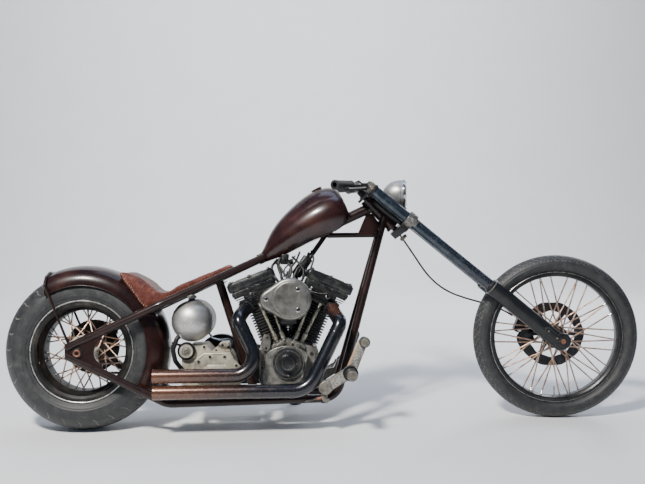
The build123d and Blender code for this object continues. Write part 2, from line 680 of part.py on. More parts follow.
# =============================================================== side stand
STAND_PIVOT = Vector(800, 166, 99)
foot_y = 300.0
STAND_FOOT = Vector(868, foot_y, ground_z(foot_y) + 13)
D1 = (STAND_FOOT - STAND_PIVOT)
D2 = Vector(-1, 0.14, 0)
STAND_AXIS = D1.cross(D2).normalized()
with BuildPart() as stand_bracket:
    # pivot pin with its head below the eye and a plate above it
    for start, r, length in ((-24, 13, 7), (-24, 8, 44), (15, 20, 10)):
        with BuildSketch(Plane(origin=STAND_PIVOT + STAND_AXIS * start, z_dir=STAND_AXIS)):
            Circle(r)
        extrude(amount=length)
    inward = STAND_AXIS.cross(Vector(1, 0, 0)).normalized()
    inward = inward * (-1 if inward.Y > 0 else 1)
    arm_a = STAND_PIVOT + STAND_AXIS * 20
    with BuildSketch(Plane(origin=arm_a, z_dir=inward, x_dir=(1, 0, 0))):
        Rectangle(34, 10)
    extrude(amount=66)
    post = arm_a + inward * 60
    with BuildSketch(Plane(origin=(STAND_PIVOT.X, post.Y, LOW_Z), z_dir=(0, 0, 1))):
        Rectangle(34, 12)
    extrude(amount=post.Z - LOW_Z)
    add(lower_rails.part, mode=Mode.SUBTRACT)
with BuildPart() as side_stand:
    with BuildSketch(Plane(origin=STAND_PIVOT - STAND_AXIS * 11, z_dir=STAND_AXIS)):
        Circle(19)
    extrude(amount=20)
    with BuildSketch(Plane(origin=STAND_PIVOT - STAND_AXIS * 1, z_dir=D1)):
        Circle(9)
    extrude(amount=D1.length)
    with BuildSketch(Plane(origin=STAND_PIVOT - STAND_AXIS * 40, z_dir=STAND_AXIS)):
        Circle(8 + RUN)
    extrude(amount=80, mode=Mode.SUBTRACT)
    up = Vector(0, -math.sin(math.radians(LEAN)), math.cos(math.radians(LEAN)))
    foot_base = Vector(STAND_FOOT.X, foot_y, ground_z(foot_y))
    with BuildSketch(Plane(origin=foot_base, z_dir=up)):
        Circle(26)
    extrude(amount=9)

# =============================================================== front end
with BuildPart() as fork_tubes:
    for side in (-1, 1):
        with BuildSketch(Plane(origin=fork_point(424, 0, side * FORK_Y), z_dir=F)):
            Circle(FORK_TUBE_R)
        extrude(amount=424 + 228)
        with BuildSketch(Plane(origin=fork_point(-228, 0, side * FORK_Y), z_dir=F)):
            Circle(FORK_TUBE_R - 5)
        extrude(amount=7)

with BuildPart() as fork_sliders:
    for side in (-1, 1):
        with BuildSketch(Plane(origin=fork_point(AXLE_S + 6, 0, side * FORK_Y), z_dir=F)):
            Circle(SLIDER_R)
        extrude(amount=AXLE_S + 6 - 434)
        with Locations(fork_point(AXLE_S + 6, 0, side * FORK_Y)):
            Sphere(SLIDER_R)
        with BuildSketch(Plane(origin=fork_point(434, 0, side * FORK_Y), z_dir=F)):
            Circle(SLIDER_R - 4)
        extrude(amount=10)
        # socket for the tube's lower end
        with BuildSketch(Plane(origin=fork_point(424.0, 0, side * FORK_Y), z_dir=F)):
            Circle(FORK_TUBE_R)
        extrude(amount=20, mode=Mode.SUBTRACT)
    with BuildSketch(Plane.XZ.offset(-150)):
        with Locations((FRONT_C.X, FRONT_C.Z)):
            Circle(AXLE_R)
    extrude(amount=300, mode=Mode.SUBTRACT)

with BuildPart() as front_axle:
    with BuildSketch(Plane.XZ.offset(-146)):
        Circle(AXLE_R)
    extrude(amount=292)
front_axle.part.move(Location((FRONT_C.X, 0, FRONT_C.Z)))

# lower clamp: bridge with two collars and the steering stem
with BuildPart() as lower_clamp:
    with BuildSketch(Plane(origin=steer_point(-19, 0), z_dir=U, x_dir=P)):
        with BuildLine():
            Polyline((-30, -28), (-30, 28), (20, 122), (60, 122), (84, 96), (70, 40), (70, -40), (84, -96), (60, -122), (20, -122), (-30, -28))
        make_face()
    extrude(amount=30)
    for side in (-1, 1):
        with BuildSketch(Plane(origin=fork_point(19, 0, side * FORK_Y), z_dir=F)):
            Circle(FORK_TUBE_R + 7)
        extrude(amount=38)
    with BuildSketch(Plane(origin=steer_point(-19, 0), z_dir=U)):
        Circle(STEM_R)
    extrude(amount=19 + 232)
    add(fork_tubes.part, mode=Mode.SUBTRACT)

with BuildPart() as top_clamp:
    with BuildSketch(Plane(origin=steer_point(196, 0), z_dir=U, x_dir=P)):
        with BuildLine():
            Polyline((-34, -30), (-34, 30), (0, 116), (40, 130), (58, 96), (46, 40), (46, -40), (58, -96), (40, -130), (0, -116), (-34, -30))
        make_face()
    extrude(amount=11)
    for side in (-1, 1):
        with BuildSketch(Plane(origin=fork_point(-191, 0, side * FORK_Y), z_dir=F)):
            Circle(FORK_TUBE_R + 2.2)
        extrude(amount=12)
    # risers
    for side in (-1, 1):
        with BuildSketch(Plane(origin=steer_point(205, 13, side * 48), z_dir=U)):
            Circle(17)
        extrude(amount=66)
    add(fork_tubes.part, mode=Mode.SUBTRACT)
    add(lower_clamp.part, mode=Mode.SUBTRACT)
    with BuildSketch(Plane.XZ.offset(-200)):
        with Locations((BAR_X, BAR_Z)):
            Circle(BAR_R)
    extrude(amount=400, mode=Mode.SUBTRACT)

BAR_PTS = [(BAR_END[0], -BAR_END[1], BAR_END[2]), (BAR_X, -BAR_BEND_Y, BAR_Z), (BAR_X, BAR_BEND_Y, BAR_Z), BAR_END]
with BuildPart() as handlebar:
    with BuildLine() as path:
        FilletPolyline(*BAR_PTS, radius=48)
    with BuildSketch(Plane(origin=path.line @ 0, z_dir=path.line % 0)):
        Circle(BAR_R)
    sweep()
    for side in (-1, 1):
        e = Vector(BAR_END[0], side * BAR_END[1], BAR_END[2])
        d = (Vector(BAR_X, side * BAR_BEND_Y, BAR_Z) - e).normalized()
        with BuildSketch(Plane(origin=e, z_dir=d)):
            Circle(BAR_BORE_R)
        extrude(amount=BAR_BORE_L, mode=Mode.SUBTRACT)

with BuildPart() as grips:
    for side in (-1, 1):
        e = Vector(BAR_END[0], side * BAR_END[1], BAR_END[2])
        d = (Vector(BAR_X, side * BAR_BEND_Y, BAR_Z) - e).normalized()
        with BuildSketch(Plane(origin=e, z_dir=d)):
            Circle(GRIP_R)
            Circle(BAR_R, mode=Mode.SUBTRACT)
        extrude(amount=118)

# lever perches on the straight part of the bar, each with its lever ahead of the grip
with BuildPart() as hand_controls:
    for side in (-1, 1):
        with BuildSketch(Plane.XZ.offset(-side * 141)):
            with Locations((BAR_X, BAR_Z)):
                Circle(18)
            with Locations((BAR_X + 24, BAR_Z - 2)):
                Rectangle(30, 24)
        extrude(amount=-side * 26)
        p0 = Vector(BAR_X + 34, side * 156, BAR_Z - 8)
        p1 = Vector(BAR_X + 14, side * 212, BAR_Z - 12)
        p2 = Vector(BAR_END[0] + 42, side * (BAR_END[1] - 8), BAR_Z - 18)
        with BuildLine() as path:
            FilletPolyline(p0, p1, p2, radius=30)
        with BuildSketch(Plane(origin=path.line @ 0, z_dir=path.line % 0)):
            Circle(6)
        sweep()
    add(handlebar.part, mode=Mode.SUBTRACT)

LAMP_C = Vector(1344, 0, 962)
with BuildPart() as headlight:
    with BuildSketch(Plane.XZ):
        with BuildLine():
            Polyline((-95, 8), (-95, 0), (0, 0), (0, 58), (-22, 58))
            ThreePointArc((-22, 58), (-70, 42), (-95, 8))
        make_face()
    revolve(axis=Axis.X)
headlight.part.move(Location((LAMP_C.X, 0, LAMP_C.Z)))
with BuildPart() as lamp_foot:
    with BuildSketch(Plane(origin=(1333, 0, 845), z_dir=(0, 0, 1))):
        Circle(8)
    extrude(amount=75)
    add(lower_clamp.part, mode=Mode.SUBTRACT)
with BuildPart() as headlight_full:
    add(headlight.part)
    add(lamp_foot.part)
headlight = headlight_full
with BuildPart() as headlight_lens:
    with BuildSketch(Plane.YZ):
        Circle(53)
    extrude(amount=6)
headlight_lens.part.move(Location((LAMP_C.X, 0, LAMP_C.Z)))
# front wheel, drawn at the origin of its own axle and moved into the fork
with BuildPart() as front_tyre:
    with BuildSketch(Plane.YZ):
        with BuildLine():
            Polyline((-25, 264), (25, 264), (25, 276), (30, 281))
            ThreePointArc((30, 281), (45, 304), (38, 325.9))
            ThreePointArc((38, 325.9), (0, FRONT_R), (-38, 325.9))
            ThreePointArc((-38, 325.9), (-45, 304), (-30, 281))
            Polyline((-30, 281), (-25, 276), (-25, 264))
        make_face()
    revolve(axis=Axis.Y)
front_tyre.part.move(Location((FRONT_C.X, 0, FRONT_C.Z)))

with BuildPart() as front_rim:
    with BuildSketch(Plane.YZ):
        with BuildLine():
            Polyline((-31, 264), (-31, 275), (-25, 275), (-25, 264), (25, 264), (25, 275), (31, 275), (31, 264), (26, 258),
                     (12, 255), (-12, 255), (-26, 258), (-31, 264))
        make_face()
    revolve(axis=Axis.Y)
front_rim.part.move(Location((FRONT_C.X, 0, FRONT_C.Z)))

with BuildPart() as front_hub:
    with BuildSketch(Plane.YZ):
        with BuildLine():
            Polyline((-66, AXLE_R + RUN), (66, AXLE_R + RUN), (66, 22), (54, 22), (54, 30), (36, 30), (36, 40), (30, 40), (30, 26),
                     (-30, 26), (-30, 40), (-36, 40), (-36, 30), (-52, 30), (-52, 22), (-66, 22), (-66, AXLE_R + RUN))
        make_face()
    revolve(axis=Axis.Y)
front_hub.part.move(Location((FRONT_C.X, 0, FRONT_C.Z)))

FRONT_SPOKES = [(side, lead, side * (33 + 4.0 * lead), side * (5.5 + 4.0 * lead)) for side in (-1, 1) for lead in (-1, 1)]
with BuildPart() as front_spokes:
    for side, lead, hub_y, rim_y in FRONT_SPOKES:
        for k in range(10):
            a = math.radians(36 * k + (0 if lead > 0 else 18) + (9 if side > 0 else 0))
            b = a + lead * math.radians(58)
            h = Vector(FRONT_C.X + 37 * math.cos(a), hub_y, FRONT_C.Z + 37 * math.sin(a))
            r = Vector(FRONT_C.X + 256.5 * math.cos(b), rim_y, FRONT_C.Z + 256.5 * math.sin(b))
            with BuildSketch(Plane(origin=h, z_dir=r - h)):
                Circle(SPOKE_R)
            extrude(amount=(r - h).length)

DISC_Y, DISC_T, DISC_R = 56.0, 5.0, 141.0
with BuildPart() as front_disc:
    with BuildSketch(Plane.XZ.offset(-DISC_Y)):
        Circle(DISC_R)
        Circle(104, mode=Mode.SUBTRACT)
        with PolarLocations(0, 6):
            Rectangle(80, 18, align=(Align.MIN, Align.CENTER))
            with Locations((34, 0)):
                Rectangle(76, 18, align=(Align.MIN, Align.CENTER))
        Circle(44)
        Circle(22, mode=Mode.SUBTRACT)
    extrude(amount=DISC_T, both=False)
    add(front_hub.part.moved(Location((-FRONT_C.X, 0, -FRONT_C.Z))), mode=Mode.SUBTRACT)
front_disc.part.move(Location((FRONT_C.X, 0, FRONT_C.Z)))

# caliper behind the left leg, straddling the disc
CAL_A = math.radians(158)
cal_c = Vector(FRONT_C.X + 128 * math.cos(CAL_A), 0, FRONT_C.Z + 128 * math.sin(CAL_A))
with BuildPart() as front_caliper:
    with BuildSketch(Plane(origin=cal_c + Vector(0, DISC_Y + 26, 0), x_dir=(math.cos(CAL_A), 0, math.sin(CAL_A)), z_dir=(0, -1, 0))):
        RectangleRounded(64, 92, 12)
    extrude(amount=36)
    with BuildSketch(Plane(origin=Vector(FRONT_C.X, DISC_Y + 5, FRONT_C.Z), z_dir=(0, -1, 0), x_dir=(1, 0, 0))):
        Circle(DISC_R + 6)
    extrude(amount=15, mode=Mode.SUBTRACT)
    arm0 = cal_c + Vector(0, DISC_Y + 22, 0)
    arm1 = fork_point(AXLE_S - 105, -14, FORK_Y - 4)
    with BuildSketch(Plane(origin=arm0, z_dir=arm1 - arm0)):
        Rectangle(16, 30)
    extrude(amount=(arm1 - arm0).length)
    add(fork_sliders.part, mode=Mode.SUBTRACT)

# brake hose from the lower clamp to the caliper
HOSE_R = 4.0
HOSE_PTS = [(1322, 0, 786), (1352, 8, 742), (1384, 16, 694), (1412, 26, 650), (1446, 38, 604), (1490, 52, 562), (1540, 64, 530),
            (1596, 74, 508), (1654, 80, 490), (1712, 82, 474), (1768, 82, 452), (1812, 82, 424)]

# ------------------------------------------------------------------ hose
def cord_radii(points):
    out = []
    for i in range(1, len(points) - 1):
        p, q, r = (Vector(*points[j]) for j in (i - 1, i, i + 1))
        turn = math.radians((q - p).get_angle(r - q))
        out.append(0.45 * min((q - p).length, (r - q).length) / math.tan(turn / 2))
    return out


HOSE_RADII = cord_radii(HOSE_PTS)
print("hose radii", [round(r, 1) for r in HOSE_RADII])
with BuildPart() as brake_hose:
    with BuildLine() as hose_path:
        FilletPolyline(*HOSE_PTS, radius=HOSE_RADII)
    with BuildSketch(Plane(origin=hose_path.line @ 0, z_dir=hose_path.line % 0)):
        Circle(HOSE_R)
    sweep()
hose_len = sum(e.length for e in hose_path.line.edges())
print("hose length", hose_len, "volume ratio", brake_hose.part.volume / (math.pi * HOSE_R ** 2 * hose_len))

# pieces of the frame that are welded into one
with BuildPart() as head_frame:
    for piece in (neck, backbone, neck_brace, top_mount):
        add(piece.part)
with BuildPart() as bottom_frame:
    for piece in (lower_rails, stand_bracket):
        add(piece.part)
with BuildPart() as exhaust_pipes:
    for piece in (exhaust_rear, exhaust_front):
        add(piece.part)

# =============================================================== placing
FIXED = [axle_plates, head_frame, upper_rails, down_tubes, bottom_frame, centre_frame, rear_fender, fender_stay,
         fuel_tank, seat, crankcase, cylinders, rocker_covers, cam_cover, pushrod_tubes, air_cleaner, exhaust_pipes,
         gearbox, gearbox_cover, primary_cover, drive_chain, oil_tank, foot_controls,
         rear_tyre, rear_rim, rear_hub, rear_spokes, side_stand]
TURNING = [fork_tubes, fork_sliders, front_axle, lower_clamp, top_clamp, handlebar, grips, hand_controls, headlight,
           headlight_lens, front_tyre, front_rim, front_hub, front_spokes, front_disc, front_caliper, brake_hose]
for piece in FIXED:
    piece.part.move(LEANED)
for piece in TURNING:
    piece.part.move(LEANED * STEERED)
boxes = [piece.part.bounding_box() for piece in FIXED + TURNING if piece is not brake_hose]
LO = [min(tuple(b.min)[i] for b in boxes) for i in range(3)]
HI = [max(tuple(b.max)[i] for b in boxes) for i in range(3)]
print("box", LO, HI)
HOME = Location((-(LO[0] + HI[0]) / 2, -(LO[1] + HI[1]) / 2, -GROUND))
print("home", HOME.position, "ground", GROUND, "axle_s", AXLE_S, "front_c", FRONT_C)
for piece in FIXED + TURNING:
    piece.part.move(HOME)


def show(name, loc, origin, direction):
    p0 = spot(HOME * loc, origin)
    p1 = spot(HOME * loc, origin + direction)
    d = p1 - p0
    print("JOINT", name, round(p0.X / 1000, 6), round(p0.Y / 1000, 6), round(p0.Z / 1000, 6), round(d.X, 6), round(d.Y, 6), round(d.Z, 6))


show("steering", LEANED, steer_point(100, 0), U)
show("front_wheel_spin", LEANED * STEERED, FRONT_C, Vector(0, 1, 0))
show("rear_wheel_spin", LEANED, REAR_C, Vector(0, 1, 0))
show("side_stand_fold", LEANED, STAND_PIVOT, STAND_AXIS)
show("up", LEANED, Vector(0, 0, 0), Vector(0, 0, 1))
show("bar_middle", LEANED * STEERED, Vector(BAR_X, 0, BAR_Z), Vector(0, 1, 0))
for side, label in ((-1, "right"), (1, "left")):
    e = Vector(BAR_END[0], side * BAR_END[1], BAR_END[2])
    show("bar_end_" + label, LEANED * STEERED, e, (e - Vector(BAR_X, side * BAR_BEND_Y, BAR_Z)).normalized())
for label, side in (("right", -1), ("left", 1)):
    tube_a, tube_b = Vector(1254, side * 20, 868), Vector(1033, side * 106, LOW_Z)
    show("down_tube_" + label, LEANED, tube_a + (tube_b - tube_a) * 0.45, (tube_b - tube_a).normalized())

# ------------------------------------------------------------------ export
axle_plates.part.label = "axle_plates"
export_step(axle_plates.part, "parts/axle_plates.step")
head_frame.part.label = "head_frame"
export_step(head_frame.part, "parts/head_frame.step")
upper_rails.part.label = "upper_rails"
export_step(upper_rails.part, "parts/upper_rails.step")
down_tubes.part.label = "down_tubes"
export_step(down_tubes.part, "parts/down_tubes.step")
bottom_frame.part.label = "bottom_frame"
export_step(bottom_frame.part, "parts/bottom_frame.step")
centre_frame.part.label = "centre_frame"
export_step(centre_frame.part, "parts/centre_frame.step")
rear_fender.part.label = "rear_fender"
export_step(rear_fender.part, "parts/rear_fender.step")
fender_stay.part.label = "fender_stay"
export_step(fender_stay.part, "parts/fender_stay.step")
fuel_tank.part.label = "fuel_tank"
export_step(fuel_tank.part, "parts/fuel_tank.step")
seat.part.label = "seat"
export_step(seat.part, "parts/seat.step")
crankcase.part.label = "crankcase"
export_step(crankcase.part, "parts/crankcase.step")
cylinders.part.label = "cylinders"
export_step(cylinders.part, "parts/cylinders.step")
rocker_covers.part.label = "rocker_covers"
export_step(rocker_covers.part, "parts/rocker_covers.step")
cam_cover.part.label = "cam_cover"
export_step(cam_cover.part, "parts/cam_cover.step")
pushrod_tubes.part.label = "pushrod_tubes"
export_step(pushrod_tubes.part, "parts/pushrod_tubes.step")
air_cleaner.part.label = "air_cleaner"
export_step(air_cleaner.part, "parts/air_cleaner.step")
exhaust_pipes.part.label = "exhaust_pipes"
export_step(exhaust_pipes.part, "parts/exhaust_pipes.step")
gearbox.part.label = "gearbox"
export_step(gearbox.part, "parts/gearbox.step")
gearbox_cover.part.label = "gearbox_cover"
export_step(gearbox_cover.part, "parts/gearbox_cover.step")
primary_cover.part.label = "primary_cover"
export_step(primary_cover.part, "parts/primary_cover.step")
drive_chain.part.label = "drive_chain"
export_step(drive_chain.part, "parts/drive_chain.step")
oil_tank.part.label = "oil_tank"
export_step(oil_tank.part, "parts/oil_tank.step")
foot_controls.part.label = "foot_controls"
export_step(foot_controls.part, "parts/foot_controls.step")
rear_tyre.part.label = "rear_tyre"
export_step(rear_tyre.part, "parts/rear_tyre.step")
rear_rim.part.label = "rear_rim"
export_step(rear_rim.part, "parts/rear_rim.step")
rear_hub.part.label = "rear_hub"
export_step(rear_hub.part, "parts/rear_hub.step")
rear_spokes.part.label = "rear_spokes"
export_step(rear_spokes.part, "parts/rear_spokes.step")
side_stand.part.label = "side_stand"
export_step(side_stand.part, "parts/side_stand.step")
fork_tubes.part.label = "fork_tubes"
export_step(fork_tubes.part, "parts/fork_tubes.step")
fork_sliders.part.label = "fork_sliders"
export_step(fork_sliders.part, "parts/fork_sliders.step")
front_axle.part.label = "front_axle"
export_step(front_axle.part, "parts/front_axle.step")
lower_clamp.part.label = "lower_clamp"
export_step(lower_clamp.part, "parts/lower_clamp.step")
top_clamp.part.label = "top_clamp"
export_step(top_clamp.part, "parts/top_clamp.step")
handlebar.part.label = "handlebar"
export_step(handlebar.part, "parts/handlebar.step")
grips.part.label = "grips"
export_step(grips.part, "parts/grips.step")
hand_controls.part.label = "hand_controls"
export_step(hand_controls.part, "parts/hand_controls.step")
headlight.part.label = "headlight"
export_step(headlight.part, "parts/headlight.step")
headlight_lens.part.label = "headlight_lens"
export_step(headlight_lens.part, "parts/headlight_lens.step")
front_tyre.part.label = "front_tyre"
export_step(front_tyre.part, "parts/front_tyre.step")
front_rim.part.label = "front_rim"
export_step(front_rim.part, "parts/front_rim.step")
front_hub.part.label = "front_hub"
export_step(front_hub.part, "parts/front_hub.step")
front_spokes.part.label = "front_spokes"
export_step(front_spokes.part, "parts/front_spokes.step")
front_disc.part.label = "front_disc"
export_step(front_disc.part, "parts/front_disc.step")
front_caliper.part.label = "front_caliper"
export_step(front_caliper.part, "parts/front_caliper.step")
brake_hose.part.label = "brake_hose"
export_step(brake_hose.part, "parts/brake_hose.step")
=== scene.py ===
import bpy, bmesh, math, random
from mathutils import Vector, Matrix, noise


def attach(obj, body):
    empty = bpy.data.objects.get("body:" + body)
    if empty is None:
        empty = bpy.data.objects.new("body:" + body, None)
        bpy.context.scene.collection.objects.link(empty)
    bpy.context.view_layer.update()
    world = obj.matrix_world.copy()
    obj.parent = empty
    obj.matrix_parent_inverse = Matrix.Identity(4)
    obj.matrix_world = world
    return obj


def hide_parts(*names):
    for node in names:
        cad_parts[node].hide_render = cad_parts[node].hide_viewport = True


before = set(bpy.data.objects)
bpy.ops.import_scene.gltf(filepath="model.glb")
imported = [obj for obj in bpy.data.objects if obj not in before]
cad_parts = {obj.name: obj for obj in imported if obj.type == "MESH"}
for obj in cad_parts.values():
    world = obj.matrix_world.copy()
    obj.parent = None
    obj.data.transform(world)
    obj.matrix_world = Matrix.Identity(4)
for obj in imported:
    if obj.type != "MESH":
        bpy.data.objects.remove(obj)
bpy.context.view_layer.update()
random.seed(7)

# ------------------------------------------------------------------ placing
# Pieces are drawn upright in the bike's own millimetres (x forward, y left, z up,
# rear axle above the origin) and then put into the parked place, as the solids are.
LEAN, STEER = 6.66, -6.9
HOME = Vector((-994.319, -94.9803, -0.687524))
NECK_RAKE, TREE_RAKE = math.radians(43.0), math.radians(7.0)
N0 = Vector((1309.0, 0.0, 804.0))
U = Vector((-math.sin(NECK_RAKE), 0, math.cos(NECK_RAKE)))
P = Vector((math.cos(NECK_RAKE), 0, math.sin(NECK_RAKE)))
F = Vector((-math.sin(NECK_RAKE + TREE_RAKE), 0, math.cos(NECK_RAKE + TREE_RAKE)))
FP = Vector((math.cos(NECK_RAKE + TREE_RAKE), 0, math.sin(NECK_RAKE + TREE_RAKE)))
FORK0 = N0 + P * 67.5
FORK_Y = 110.0
AXLE_S = 794.4124687568801
FRONT_C = FORK0 - F * AXLE_S + FP * 9.0
REAR_C = Vector((0, 0, 328.5))
CRANK = (838.5, 205.0)
MM = Matrix.Scale(0.001, 4)
FIX = MM @ Matrix.Translation(HOME) @ Matrix.Rotation(math.radians(-LEAN), 4, "X")
TURN = FIX @ Matrix.Translation(N0) @ Matrix.Rotation(math.radians(STEER), 4, U) @ Matrix.Translation(-N0)
BODY_PLACE = {"frame": FIX, "rear_wheel": FIX, "side_stand": FIX, "front_fork": TURN, "front_wheel": TURN}


def rail_z(x):
    return 368.6 + 0.448 * x


def steer_point(t, p, y=0.0):
    return N0 + U * t + P * p + Vector((0, y, 0))


def fork_point(s, ahead=0.0, y=0.0):
    return FORK0 - F * s + FP * ahead + Vector((0, y, 0))


def cyl_frame(side, d):
    # origin and axes of a cylinder at distance d from the crank; u forward, v left, w up the bore
    a = math.radians(22.5 + side * 1.7)
    w = Vector((side * math.sin(a), 0, math.cos(a)))
    u = Vector((math.cos(a), 0, -side * math.sin(a)))
    o = Vector((CRANK[0], 0, CRANK[1])) + w * d
    return o, u, w


# ------------------------------------------------------------------ mesh code
class Piece:
    """Collects mesh pieces drawn in bike millimetres and makes one object of them."""

    def __init__(self, name, body, slot, material, sharp=35, replaces=()):
        self.name, self.body, self.slot, self.material, self.sharp, self.replaces = name, body, slot, material, sharp, replaces
        self.verts, self.faces = [], []

    def add(self, verts, faces):
        n = len(self.verts)
        self.verts += [tuple(v) for v in verts]
        self.faces += [tuple(n + i for i in f) for f in faces]

    # a ring profile [(r, h), ...] turned about an axis; h along the axis
    def lathe(self, origin, axis, profile, seg=32, closed=False, start=0.0):
        origin, axis = Vector(origin), Vector(axis).normalized()
        u = axis.orthogonal().normalized()
        v = axis.cross(u)
        verts, faces = [], []
        for k in range(seg):
            a = start + 2 * math.pi * k / seg
            d = u * math.cos(a) + v * math.sin(a)
            for r, h in profile:
                verts.append(origin + axis * h + d * max(r, 0.0005))
        m = len(profile)
        for k in range(seg):
            j = (k + 1) % seg
            for i in range(m - 1 + (1 if closed else 0)):
                i2 = (i + 1) % m
                faces.append((k * m + i, j * m + i, j * m + i2, k * m + i2))
        self.add(verts, faces)

    # round rod with rounded ends
    def rod(self, a, b, r, seg=16, chamfer=None):
        a, b = Vector(a), Vector(b)
        L = (b - a).length
        c = min(r * 0.25 if chamfer is None else chamfer, L * 0.4)
        self.lathe(a, b - a, [(0, 0), (r - c, 0), (r - c * 0.3, c * 0.3), (r, c), (r, L - c), (r - c * 0.3, L - c * 0.3), (r - c, L), (0, L)], seg)

    # prism with rounded edges along an axis: outline is a list of (u, v)
    def prism(self, origin, u, v, w, outline, height, bevel=1.5):
        origin, u, v, w = Vector(origin), Vector(u).normalized(), Vector(v).normalized(), Vector(w).normalized()
        n = len(outline)
        area = sum(outline[i][0] * outline[(i + 1) % n][1] - outline[(i + 1) % n][0] * outline[i][1] for i in range(n))
        pts = outline if area > 0 else outline[::-1]

        def inset(d):
            out = []
            for i in range(n):
                p0, p1, p2 = (Vector(pts[(i + k) % n]) for k in (-1, 0, 1))
                e1, e2 = (p1 - p0).normalized(), (p2 - p1).normalized()
                n1, n2 = Vector((-e1.y, e1.x)), Vector((-e2.y, e2.x))
                m = n1 + n2
                m = m / max(m.length_squared / 2, 0.35) if m.length > 1e-6 else n1
                out.append(p1 + m * d)
            return out
        b = min(bevel, height * 0.45)
        rings = [(inset(b), 0.0), (inset(b * 0.3), b * 0.3), (inset(0), b), (inset(0), height - b), (inset(b * 0.3), height - b * 0.3), (inset(b), height)]
        verts, faces = [], []
        for ring, h in rings:
            verts += [origin + u * q.x + v * q.y + w * h for q in ring]
        for k in range(len(rings) - 1):
            for i in range(n):
                j = (i + 1) % n
                faces.append((k * n + i, k * n + j, (k + 1) * n + j, (k + 1) * n + i))
        faces.append(tuple(range(n))[::-1])
        faces.append(tuple((len(rings) - 1) * n + i for i in range(n)))
        self.add(verts, faces)

    # hexagonal bolt head with a washer under it, sitting on base and standing along axis
    def bolt(self, base, axis, af=10.0, height=6.0, washer=True):
        base, axis = Vector(base), Vector(axis).normalized()
        u = axis.orthogonal().normalized()
        v = axis.cross(u)
        r = af / math.sqrt(3)
        if washer:
            self.lathe(base, axis, [(0, -0.3), (r * 1.25, -0.3), (r * 1.25, 0.9), (r * 1.15, 1.3), (0, 1.3)], 20)
        h0 = 1.3 if washer else -0.3
        ring = [(r * math.cos(math.pi / 3 * k), r * math.sin(math.pi / 3 * k)) for k in range(6)]
        self.prism(base + axis * h0, u, v, axis, ring, height, 0.8)
        self.lathe(base + axis * (h0 + height), axis, [(r * 0.78, -0.4), (r * 0.74, 0.25), (0, 0.3)], 20)

    # socket-head screw
    def cap_screw(self, base, axis, r=5.0, height=5.0):
        base, axis = Vector(base), Vector(axis).normalized()
        self.lathe(base, axis, [(r, -0.5), (r, height - 0.8), (r - 0.8, height), (r * 0.52, height), (r * 0.5, height - 2.4), (0, height - 2.6)], 24)

    # tube along points
    def pipe(self, pts, r, seg=14, closed=False, caps=True, radii=None):
        pts = [Vector(p) for p in pts]
        n = len(pts)
        tang = []
        for i in range(n):
            if closed:
                t = pts[(i + 1) % n] - pts[i - 1]
            else:
                t = pts[min(i + 1, n - 1)] - pts[max(i - 1, 0)]
            tang.append(t.normalized())
        u = tang[0].orthogonal().normalized()
        verts, faces = [], []
        for i in range(n):
            u = (u - tang[i] * u.dot(tang[i])).normalized()
            v = tang[i].cross(u)
            rr = radii[i] if radii else r
            for k in range(seg):
                a = 2 * math.pi * k / seg
                verts.append(pts[i] + (u * math.cos(a) + v * math.sin(a)) * rr)
        for i in range(n - 1 + (1 if closed else 0)):
            i2 = (i + 1) % n
            for k in range(seg):
                k2 = (k + 1) % seg
                faces.append((i * seg + k, i * seg + k2, i2 * seg + k2, i2 * seg + k))
        if caps and not closed:
            faces.append(tuple(range(seg))[::-1])
            faces.append(tuple((n - 1) * seg + k for k in range(seg)))
        self.add(verts, faces)

    def ring(self, centre, axis, radius, r, seg=48, sides=12):
        centre, axis = Vector(centre), Vector(axis).normalized()
        u = axis.orthogonal().normalized()
        v = axis.cross(u)
        self.pipe([centre + (u * math.cos(2 * math.pi * k / seg) + v * math.sin(2 * math.pi * k / seg)) * radius for k in range(seg)], r, sides, closed=True)

    # grid of points [row][col]
    def grid(self, rows, wrap_cols=False, wrap_rows=False):
        n, m = len(rows), len(rows[0])
        verts = [p for row in rows for p in row]
        faces = []
        for i in range(n - (0 if wrap_rows else 1)):
            i2 = (i + 1) % n
            for j in range(m - (0 if wrap_cols else 1)):
                j2 = (j + 1) % m
                faces.append((i * m + j, i * m + j2, i2 * m + j2, i2 * m + j))
        self.add(verts, faces)

    def build(self, subdiv=0):
        me = bpy.data.meshes.new(self.name)
        me.from_pydata([tuple(v) for v in self.verts], [], self.faces)
        me.validate()
        bm = bmesh.new()
        bm.from_mesh(me)
        bmesh.ops.remove_doubles(bm, verts=bm.verts, dist=0.002)
        bmesh.ops.recalc_face_normals(bm, faces=bm.faces)
        bm.to_mesh(me)
        bm.free()
        me.transform(BODY_PLACE[self.body])
        for p in me.polygons:
            p.use_smooth = True
        if self.sharp:
            me.set_sharp_from_angle(angle=math.radians(self.sharp))
        me.materials.append(self.material)
        o = bpy.data.objects.new(self.name, me)
        bpy.context.scene.collection.objects.link(o)
        if subdiv:
            m = o.modifiers.new("smooth", "SUBSURF")
            m.levels = m.render_levels = subdiv
        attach(o, self.body)
        if self.replaces:
            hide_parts(*self.replaces)
        return o


